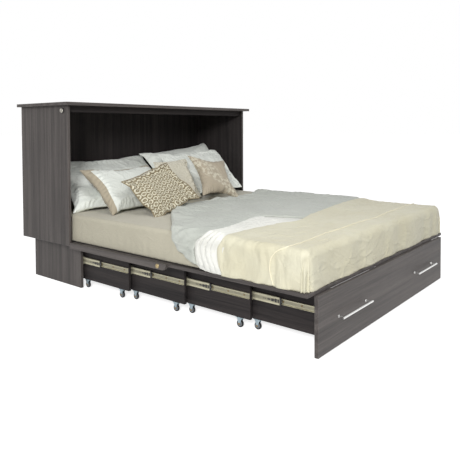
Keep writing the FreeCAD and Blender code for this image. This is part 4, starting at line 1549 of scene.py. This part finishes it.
        def lift(s: float, y: float, up: bool) -> float:
            """Height of one side of the layer, drawn together at its edges.

            Args:
                s: distance round the covers from the left hem.
                y: distance along the bed.
                up: whether it is the upper side.

            Returns:
                The lift.
            """
            slope = (edge(s + 0.004) - edge(s - 0.004)) / 0.008
            near = (edge(s) - y) / math.hypot(1.0, slope)
            far = y - end(s)
            full = min(rounded(near, nose), rounded(s - first, 0.7 * nose), rounded(last - s, 0.7 * nose),
                       rounded(far, 0.7 * nose))
            under, upper = lifts(s, y)
            upper += rippled * self.ripple(s, y, near)
            covered = eased((self.coverlet_head(s) + 0.014 - y) / 0.014)
            upper += covered * (min(upper, self.coverlet_lift(s, y) - 0.0035) - upper)
            middle = under + 0.45 * (upper - under)
            if not up:
                return middle + (under - middle) * full
            return middle + (upper - middle) * full

        cut = Cut(250, 110)
        cut.lay(cloth, lambda a, b, s, y: drape.place(s, y, lift(s, y, True)))
        cut.lay(cloth, lambda a, b, s, y: drape.place(s, y, lift(s, y, False)), True)
        layer = self.shop.piece(name, cut.close(), ("duvet_cotton",), "cabinet", "duvet_cotton")
        self.soften(layer)
        return layer

    def duvet(self) -> None:
        """The duvet and, on top of it, its end turned back askew."""
        def main_lifts(s: float, y: float) -> tuple[float, float]:
            """Under and upper side of the duvet."""
            puff = 0.004 * math.exp(-max(self.turned_edge(s) - y, 0.0) / 0.05)
            return -0.0182, -0.0055 + puff

        def turned_lifts(s: float, y: float) -> tuple[float, float]:
            """Under and upper side of the turned-back end.

            Args:
                s: distance round the covers from the left hem.
                y: distance along the bed.

            Returns:
                Both lifts.
            """
            near = max(self.turned_edge(s) - y, 0.0)
            wrap = math.exp(-near / 0.018)
            return -0.0050 - 0.0125 * wrap, 0.0085 + 0.0035 * math.exp(-near / 0.06)

        inner_edge = Course(*[(s / MM, y / MM - 5.0) for s, y in self.turned_edge.points])
        main = self.padded_layer("duvet_filled", inner_edge, lambda s: self.duvet_end, 0.002, main_lifts,
                                 0.020, 0.0)
        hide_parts("duvet")
        self.padded_layer("duvet_turned_back", self.turned_edge, self.flap_end, 0.026, turned_lifts,
                          0.022, 1.0)

    def lining(self) -> None:
        """White sateen lining between the turned-back end and the coverlet, in curved ridges."""
        drape = self.drape

        def limits(s: float) -> tuple[float, float]:
            """Where the lining ends under the coverlet and under the turned-back end.

            Args:
                s: distance round the covers from the left hem.

            Returns:
                Both distances along.
            """
            foot = self.coverlet_head(s) - 0.035
            head = min(self.flap_end(max(s, 0.026)) + 0.022, self.turned_edge(s) - 0.004)
            return foot, max(head, foot + 0.004)

        def cloth(across: float, along: float) -> tuple[float, float]:
            """Shares to cloth distances.

            Args:
                across: share of the way across the piece.
                along: share of the way along it.

            Returns:
                The cloth distances.
            """
            s = self.hem_gap + across * 0.80
            foot, head = limits(s)
            return s, foot + along * (head - foot)

        def place(across: float, along: float, s: float, y: float) -> Vector:
            """Lay the lining in ridges that bend with the fold.

            Args:
                across: not used.
                along: not used.
                s: distance round the covers from the left hem.
                y: distance along the bed.

            Returns:
                The place.
            """
            foot, head = self.coverlet_head(s), self.flap_end(max(s, 0.026))
            share = (y - foot) / max(head - foot, 0.02)
            bend = 0.42 * wander(s, 0.0, 0.30, 21.0) + 0.16 * wander(s, y, 0.09, 22.0)
            crest = abs(math.sin(math.pi * (4.3 * share + bend))) ** 0.42
            body = eased(share / 0.25) * eased((1.06 - share) / 0.22) * eased((0.745 - s) / 0.16)
            body *= 0.45 + 0.55 * eased(s / 0.10)
            hem = rounded(s, 0.012)
            height = 0.0185 * crest * body + 0.0034 * crinkle(s, y, 0.05, 23.0) * body
            return drape.place(s, y, -0.0105 + 0.0065 * hem + max(height, 0.0))

        cut = Cut(230, 90)
        cut.lay(cloth, place)
        lining = self.shop.piece("duvet_lining", cut.close(), ("lining_sateen",), "cabinet", "duvet_cotton")
        self.thicken(lining, self.lining_gauge)
        self.soften(lining)

    def coverlet_lift(self, s: float, y: float) -> float:
        """How far the coverlet stands off the drape.

        Args:
            s: distance round the covers from the left hem.
            y: distance along the bed.

        Returns:
            The lift.
        """
        drape = self.drape
        side = min(s, drape.girth - s)
        head = self.coverlet_head(s)
        lapped = 1 - eased((head - y) / 0.13)
        down = eased((drape.fall - side) / 0.09)
        foot_over = drape.foot + drape.edge - y
        down_foot = eased(foot_over / 0.09)
        wave = math.sin(2 * math.pi * (y / 0.155 + 1.5 * wander(y, 0.0, 0.27, 31.0) + 0.25 * side / 0.1))
        finer = math.sin(2 * math.pi * (y / 0.071 + 1.3 * wander(y, s, 0.19, 32.0)))
        drapes = down * (0.0062 * wave + 0.0032 * finer) * (1 - 0.6 * down_foot)
        drapes *= 0.5 + 1.1 * abs(wander(y, 0.0, 0.16, 36.0))
        level = wander(s, y * 0.5, 0.24, 33.0) * 0.0052 + crinkle(s * 1.2, y * 1.9, 0.15, 34.0) * 0.0034
        across = down_foot * 0.0028 * math.sin(2 * math.pi * (s / 0.23 + wander(s, 0.0, 0.4, 35.0)))
        return -0.0066 + 0.0096 * lapped + drapes + level * (1 - 0.5 * down) + across + self.tuck(s, y)

    def tuck(self, s: float, y: float) -> float:
        """Folds of the cloth gathered at the two corners of the foot end.

        Args:
            s: distance round the covers from the left hem.
            y: distance along the bed.

        Returns:
            The lift that the folds add.
        """
        drape = self.drape
        over_x = drape.fall - min(s, drape.girth - s)
        over_y = drape.foot + drape.edge - y
        if over_x <= 0 or over_y <= -0.05:
            return 0.0
        beyond = max(over_x, over_y)
        turn = math.atan2(max(over_y, -0.05), over_x)
        depth = eased(beyond / drape.fall)
        first = math.exp(-((turn - 0.62) / 0.10) ** 2)
        second = math.exp(-((turn - 1.02) / 0.07) ** 2)
        third = math.exp(-((turn - 0.25) / 0.08) ** 2)
        return depth * (0.0105 * first + 0.0075 * second + 0.0050 * third - 0.0030)

    def coverlet(self) -> None:
        """Ivory coverlet from its lapped head edge down over the foot end, and its piping."""
        drape = self.drape

        def cloth(across: float, along: float) -> tuple[float, float]:
            """Shares to cloth distances.

            Args:
                across: share of the way across the piece.
                along: share of the way along it.

            Returns:
                The cloth distances.
            """
            s = self.hem_gap + across * (drape.girth - 2 * self.hem_gap)
            head = self.coverlet_head(s)
            return s, head + (drape.foot_hem + self.hem_gap - head) * along

        def place(across: float, along: float, s: float, y: float) -> Vector:
            """Lay the coverlet, rolled under along its head edge."""
            edge_roll = 0.0030 * (1 - rounded(self.coverlet_head(s) - y, 0.006))
            return drape.place(s, y, self.coverlet_lift(s, y) - edge_roll)

        cut = Cut(300, 130)
        cut.lay(cloth, place)
        coverlet = self.shop.piece("coverlet_sewn", cut.close(), ("coverlet_sateen",), "cabinet",
                                   "coverlet_sateen")
        self.thicken(coverlet, self.coverlet_gauge)
        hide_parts("coverlet")
        piping = self.piping()
        self.soften(coverlet)
        self.soften(piping)

    def piping(self) -> bpy.types.Object:
        """Thin piped seam across the coverlet.

        Returns:
            The piping.
        """
        drape, radius = self.drape, 0.0021
        step = 0.002

        def on_cover(s: float) -> Vector:
            """Middle of the piping on the coverlet."""
            y = self.piping_line(s)
            return drape.place(s, y, self.coverlet_lift(s, y) + self.coverlet_gauge + 0.4 * radius)

        def cloth(across: float, along: float) -> tuple[float, float]:
            """Shares to the distance round and the turn."""
            return 0.003 + along * (drape.girth - 0.006), across * 2 * math.pi

        def place(across: float, along: float, s: float, turn: float) -> Vector:
            """Lay the piping as a tube with tapered ends.

            Args:
                across: not used.
                along: share of the way along it.
                s: distance round the covers from the left hem.
                turn: angle round the tube.

            Returns:
                The place.
            """
            centre = on_cover(s)
            ahead = (on_cover(s + step) - on_cover(s - step)).normalized()
            y = self.piping_line(s)
            out = (drape.place(s, y, 0.01) - drape.place(s, y, 0.0)).normalized()
            level = ahead.cross(out).normalized()
            out = level.cross(ahead).normalized()
            thick = radius * rounded(min(along, 1 - along), 0.0015)
            return centre + (level * math.cos(turn) + out * math.sin(turn)) * thick

        cut = Cut(8, 360)
        cut.lay(cloth, place)
        return self.shop.piece("coverlet_piping", cut.close(), ("piping_sateen",), "cabinet",
                               "coverlet_sateen")

    def build(self) -> None:
        """Make the bed."""
        self.mattress()
        self.sheet()
        self.duvet()
        self.lining()
        self.coverlet()


@dataclass(frozen=True)
class Stuffed:
    """One pillow or cushion: its finish, its CAD node's lie, and how it is filled."""

    node: str
    size: tuple[float, float, float]
    lean: float
    turn: float
    spin: float
    finish: str
    slot: str
    fill: float = 0.6
    ears: float = 0.0
    piped: str = ""
    seed: float = 0.0
    shift: Point = (0.0, 0.0, 0.0)
    waist: float = 0.034


@dataclass
class Pillows:
    """The pile of pillows and square cushions, each inflated as a sewn bag."""

    shop: Workshop
    bedding: Bedding
    columns: int = 72
    rows: int = 50
    pressure: float = 4.0
    frames: int = 20
    cap: float = 0.030
    rest: float = 0.4307
    pile: tuple[Stuffed, ...] = (
        Stuffed("pillow_back_left", (746, 446, 108), 48.5, 1.0, 2.0, "pillow_cotton", "pillow_cotton", 0.6,
                0.4, "", 1.0, (0.022, 0.0, 0.0)),
        Stuffed("pillow_back_right", (700, 444, 116), 41.5, -6.0, 7.0, "pillow_cotton", "pillow_cotton", 0.6,
                1.0, "", 2.0),
        Stuffed("pillow_side_left", (540, 412, 100), 58.5, -16.0, 0.0, "pillow_cotton", "pillow_cotton", 0.5,
                0.3, "", 3.0, (-0.016, 0.0, 0.004)),
        Stuffed("pillow_front_left", (550, 392, 120), 49.0, 1.0, 0.0, "sham_cotton", "pillow_cotton", 0.7,
                0.4, "", 4.0),
        Stuffed("pillow_front_right", (650, 422, 110), 40.5, -2.0, 2.5, "pillow_cotton", "pillow_cotton", 0.6,
                0.8, "", 5.0),
        Stuffed("cushion_plain", (325, 308, 60), 26.0, -3.0, 3.0, "nubby_weave", "cushion_plain_weave", 0.6,
                0.3, "", 6.0, waist=0.05),
        Stuffed("cushion_patterned", (384, 332, 102), 44.4, -12.9, 20.7, "ring_weave", "cushion_ring_weave",
                0.8, 0.3, "cushion_piping", 7.0, (0.007, 0.0, -0.010), 0.07),
        Stuffed("cushion_floral", (335, 357, 90), 41.0, -4.0, -11.5, "blossom_weave",
                "cushion_floral_weave", 0.8, 0.3, "", 8.0, waist=0.07),
    )

    def bag(self, item: Stuffed) -> bmesh.types.BMesh:
        """Sewn bag lying flat, with its final crowned form: sides drawn in between its corners.

        Args:
            item: the pillow or cushion.

        Returns:
            Its mesh.
        """
        width, height, thick = (length * MM for length in item.size)
        waist = item.waist * height

        def cloth(across: float, along: float) -> tuple[float, float]:
            """Shares to cloth distances."""
            return across * width, along * height

        def face(up: int) -> Callable[[float, float, float, float], Vector]:
            """Form of one side of the bag.

            Args:
                up: 1 for the upper side, -1 for the lower.

            Returns:
                Shares and cloth distances to the place.
            """
            def place(across: float, along: float, *_: float) -> Vector:
                """Crown, gathers and slack at one point.

                Args:
                    across: share of the way across the piece.
                    along: share of the way along it.

                Returns:
                    The place.
                """
                a, b = 2 * across - 1, 2 * along - 1
                x = a * (width / 2 - waist * (1 - b * b))
                y = b * (height / 2 - waist * (1 - a * a))
                crown = ((1 - a ** 4) * (1 - b ** 4)) ** 0.5 * (1 - 0.32 * (a * a + b * b) / 2)
                rim = max(abs(a), abs(b))
                pucker = eased((rim - 0.45) / 0.5) * eased((1.0 - rim) / 0.06)
                along_seam = b * height if abs(a) > abs(b) else a * width
                gathers = math.sin(2 * math.pi * (along_seam / 0.062 + 2.1 * wander(x, y, 0.13, item.seed)))
                slack = wander(x, y, 0.14, item.seed + 40 + up) * 0.011
                slack += crinkle(x, y, 0.095, item.seed + 90 + up) * 0.0085
                slack *= min(1.0, thick / 0.11) ** 2
                z = crown * (thick / 2 - 0.004 + slack) + pucker * crown * 0.05 * thick * gathers
                frayed = 0.006 * wander(x, y, 0.08, item.seed + 20) * rim ** 6
                return Vector((x * (1 + frayed / width * 2), y * (1 + frayed / height * 2), up * max(z, 0.0)))
            return place

        cut = Cut(self.columns, self.rows)
        cut.lay(cloth, face(1))
        cut.lay(cloth, face(-1), True)
        return cut.close()

    def inflate(self, piece: bpy.types.Object) -> None:
        """Blow the bag up a little by cloth simulation, so that its seams pucker as sewn ones do.

        Args:
            piece: the bag.
        """
        cloth = piece.modifiers.new("inflate", "CLOTH")
        settings = cloth.settings
        settings.quality = 5
        settings.mass = 0.25
        settings.use_pressure = True
        settings.uniform_pressure_force = self.pressure
        settings.tension_stiffness = settings.compression_stiffness = 22.0
        settings.shear_stiffness = 8.0
        settings.bending_stiffness = 0.15
        settings.effector_weights.gravity = 0.0
        settings.shrink_min = -0.03
        cloth.point_cache.frame_end = self.frames
        scene = bpy.context.scene
        for frame_number in range(1, self.frames + 1):
            scene.frame_set(frame_number)
        blown = piece.evaluated_get(bpy.context.evaluated_depsgraph_get()).to_mesh()
        moved = [v.co.copy() for v in blown.vertices]
        piece.evaluated_get(bpy.context.evaluated_depsgraph_get()).to_mesh_clear()
        piece.modifiers.remove(cloth)
        scene.frame_set(1)
        for vert, target in zip(piece.data.vertices, moved):
            shift = target - vert.co
            if shift.length > self.cap:
                shift *= self.cap / shift.length
            vert.co += shift

    def settle(self, piece: bpy.types.Object, item: Stuffed) -> None:
        """Bring the bag to its size, lean it where its node is, and flatten it where it rests.

        Args:
            piece: the bag.
            item: the pillow or cushion.
        """
        width, height, thick = (length * MM for length in item.size)
        verts = piece.data.vertices
        half_x = max(abs(v.co.x) for v in verts)
        half_y = max(abs(v.co.y) for v in verts)
        half_z = max(abs(v.co.z) for v in verts)
        low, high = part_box(item.node)
        turned = (Matrix.Translation((low + high) / 2 + Vector(item.shift))
                  @ Matrix.Rotation(math.radians(item.turn), 4, "Z")
                  @ Matrix.Rotation(math.radians(90 - item.lean), 4, "X")
                  @ Matrix.Rotation(math.radians(item.spin), 4, "Z"))
        for vert in verts:
            x, y = vert.co.x / half_x, vert.co.y / half_y
            corner = (abs(x) * abs(y)) ** 3
            flat = Vector((x * width / 2, y * height / 2, vert.co.z * min(1.0, thick / 2 / half_z)))
            flat.z -= 0.020 * item.ears * corner * (1.0 if y > 0 else 0.2)
            place = turned @ flat
            if place.z < self.rest:
                place.z = self.rest + 0.02 * (place.z - self.rest)
            vert.co = place

    def piping(self, piece: bpy.types.Object, item: Stuffed, seam: list[int]) -> bpy.types.Object:
        """Round piping along the seam of a cushion.

        Args:
            piece: the cushion.
            item: what it is made from.
            seam: numbers of its seam's vertices, in order.

        Returns:
            The piping.
        """
        points = [piece.data.vertices[n].co.copy() for n in seam]
        centre = sum(points, Vector()) / len(points)
        count, radius = len(points), 0.0030

        def at(number: float) -> Vector:
            """Point on the seam.

            Args:
                number: how far round, in vertices.

            Returns:
                The place.
            """
            first = int(number) % count
            share = number - int(number)
            return points[first].lerp(points[(first + 1) % count], share)

        def cloth(across: float, along: float) -> tuple[float, float]:
            """Shares to the turn and the distance round."""
            return across * 2 * math.pi, along * count

        def place(across: float, along: float, turn: float, number: float) -> Vector:
            """Lay the piping as a closed tube.

            Args:
                across: not used.
                along: not used.
                turn: angle round the tube.
                number: how far round the seam, in vertices.

            Returns:
                The place.
            """
            middle = at(number % count)
            ahead = (at((number + 0.6) % count) - at((number - 0.6) % count)).normalized()
            out = (middle - centre).normalized()
            level = ahead.cross(out).normalized()
            out = level.cross(ahead).normalized()
            return middle + (out * math.cos(turn) + level * math.sin(turn)) * radius

        cut = Cut(8, 2 * count)
        cut.lay(cloth, place)
        return self.shop.piece(f"{item.node}_piping", cut.close(), (item.piped,), "cabinet", item.slot)

    def seam_of(self, bm: bmesh.types.BMesh) -> list[int]:
        """Vertices along the seam of a flat bag, in order round it.

        Args:
            bm: the bag's mesh.

        Returns:
            Their numbers.
        """
        bm.verts.index_update()
        rim = [v for v in bm.verts if abs(v.co.z) < 1e-7]
        return [v.index for v in sorted(rim, key=lambda v: math.atan2(v.co.y, v.co.x))]

    def build(self) -> None:
        """Make the pile."""
        for item in self.pile:
            bm = self.bag(item)
            seam = self.seam_of(bm)
            pillow = self.shop.piece(f"{item.node}_stuffed", bm, (item.finish,), "cabinet", item.slot)
            self.inflate(pillow)
            self.settle(pillow, item)
            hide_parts(item.node)
            if item.piped:
                self.bedding.soften(self.piping(pillow, item, seam))
            self.smooth(pillow)
            self.bedding.soften(pillow)

    @staticmethod
    def smooth(piece: bpy.types.Object) -> None:
        """Divide the mesh once more by subdivision surface, and keep the result.

        Args:
            piece: the pillow.
        """
        divide = piece.modifiers.new("smooth", "SUBSURF")
        divide.levels = divide.render_levels = 1
        divide.uv_smooth = "PRESERVE_BOUNDARIES"
        done = bpy.data.meshes.new_from_object(piece.evaluated_get(bpy.context.evaluated_depsgraph_get()))
        piece.modifiers.clear()
        old = piece.data
        done.name = old.name
        piece.data = done


# ---------------------------------------------------------------- studio
@dataclass
class Studio:
    """Pale floor, soft light and the camera at the photograph's angle."""

    eye: Point = (-2.5626, -2.1049, 0.9295)
    turn: float = math.radians(-51.436)
    dip: float = math.radians(1.758)
    roll: float = math.radians(-0.201)
    focal_pixels: float = 536.6
    axis_pixel: tuple[float, float] = (242.02, 144.08)
    frame_pixels: float = 460.0
    sensor: float = 36.0
    world_light: float = 0.35
    floor_glow: float = 0.80
    key_watts: float = 178.0
    over_watts: float = 24.0

    def camera(self) -> None:
        """Place the camera."""
        ahead = Vector((-math.sin(self.turn) * math.cos(self.dip), math.cos(self.turn) * math.cos(self.dip),
                        -math.sin(self.dip)))
        level = Vector((math.cos(self.turn), math.sin(self.turn), 0.0))
        up = level.cross(ahead)
        right = math.cos(self.roll) * level + math.sin(self.roll) * up
        up = -math.sin(self.roll) * level + math.cos(self.roll) * up
        data = bpy.data.cameras.new("camera")
        data.lens = self.sensor * self.focal_pixels / self.frame_pixels
        data.sensor_width = self.sensor
        half = self.frame_pixels / 2
        data.shift_x = (half - self.axis_pixel[0]) / self.frame_pixels
        data.shift_y = (self.axis_pixel[1] - half) / self.frame_pixels
        camera = bpy.data.objects.new("camera", data)
        camera.matrix_world = Matrix.Translation(self.eye) @ Matrix((right, up, -ahead)).transposed().to_4x4()
        bpy.context.scene.collection.objects.link(camera)
        bpy.context.scene.camera = camera

    def lamp(self, name: str, place: Point, target: Point, size: float, power: float) -> None:
        """Add a square soft lamp that points at a target.

        Args:
            name: its name.
            place: where it hangs.
            target: what it points at.
            size: its side.
            power: its watts.
        """
        data = bpy.data.lights.new(name, "AREA")
        data.size = size
        data.energy = power
        lamp = bpy.data.objects.new(name, data)
        aim = (Vector(target) - Vector(place)).to_track_quat("-Z", "Y")
        lamp.matrix_world = Matrix.Translation(place) @ aim.to_matrix().to_4x4()
        bpy.context.scene.collection.objects.link(lamp)

    def light(self) -> None:
        """World and lamps."""
        bpy.context.scene.view_settings.view_transform = "Standard"
        world = bpy.data.worlds.new("studio")
        world.use_nodes = True
        bpy.context.scene.world = world
        tree = Tree(world.node_tree)
        seen = tree.seen()
        plain = tree.add("ShaderNodeBackground", {"Color": WHITE, "Strength": self.world_light})
        white = tree.add("ShaderNodeBackground", {"Color": WHITE, "Strength": 1.0})
        mixed = tree.add("ShaderNodeMixShader", {0: seen, 1: plain.outputs[0], 2: white.outputs[0]})
        tree.add("ShaderNodeOutputWorld", {"Surface": mixed.outputs[0]})
        self.lamp("key", (-4.5, -2.9, 2.4), (-0.1, -0.1, 0.4), 1.1, self.key_watts)
        self.lamp("over", (-0.7, -1.4, 2.7), (-0.1, 0.65, 0.55), 1.2, self.over_watts)

    def floor(self) -> None:
        """Plain pale floor that keeps the shadow."""
        bm = bmesh.new()
        bmesh.ops.create_grid(bm, x_segments=1, y_segments=1, size=60.0)
        mesh = bpy.data.meshes.new("floor")
        bm.to_mesh(mesh)
        bm.free()
        floor = bpy.data.objects.new("floor", mesh)
        bpy.context.scene.collection.objects.link(floor)
        material = bpy.data.materials.new("floor")
        material.use_nodes = True
        tree = Tree(material.node_tree)
        matt = tree.add("ShaderNodeBsdfDiffuse", {"Color": (0.8, 0.8, 0.8, 1.0)})
        glow = tree.add("ShaderNodeEmission", {"Color": WHITE,
                                               "Strength": tree.times(tree.seen(), self.floor_glow)})
        both = tree.add("ShaderNodeAddShader", {0: matt.outputs[0], 1: glow.outputs[0]})
        tree.add("ShaderNodeOutputMaterial", {"Surface": both.outputs[0]})
        mesh.materials.append(material)

    def build(self) -> None:
        """Set the whole studio up."""
        self.camera()
        self.light()
        self.floor()


def main() -> None:
    """Build the bed's looks in order."""
    logging.basicConfig(level=logging.INFO)
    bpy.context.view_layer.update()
    shop = Workshop()
    Boards(shop).build()
    Slides(shop).build()
    Casters(shop).build()
    Handles(shop).build()
    Hinges(shop).build()
    bedding = Bedding(shop)
    bedding.build()
    Pillows(shop, bedding).build()
    Studio().build()
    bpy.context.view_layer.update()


if __name__ == "__main__":
    main()
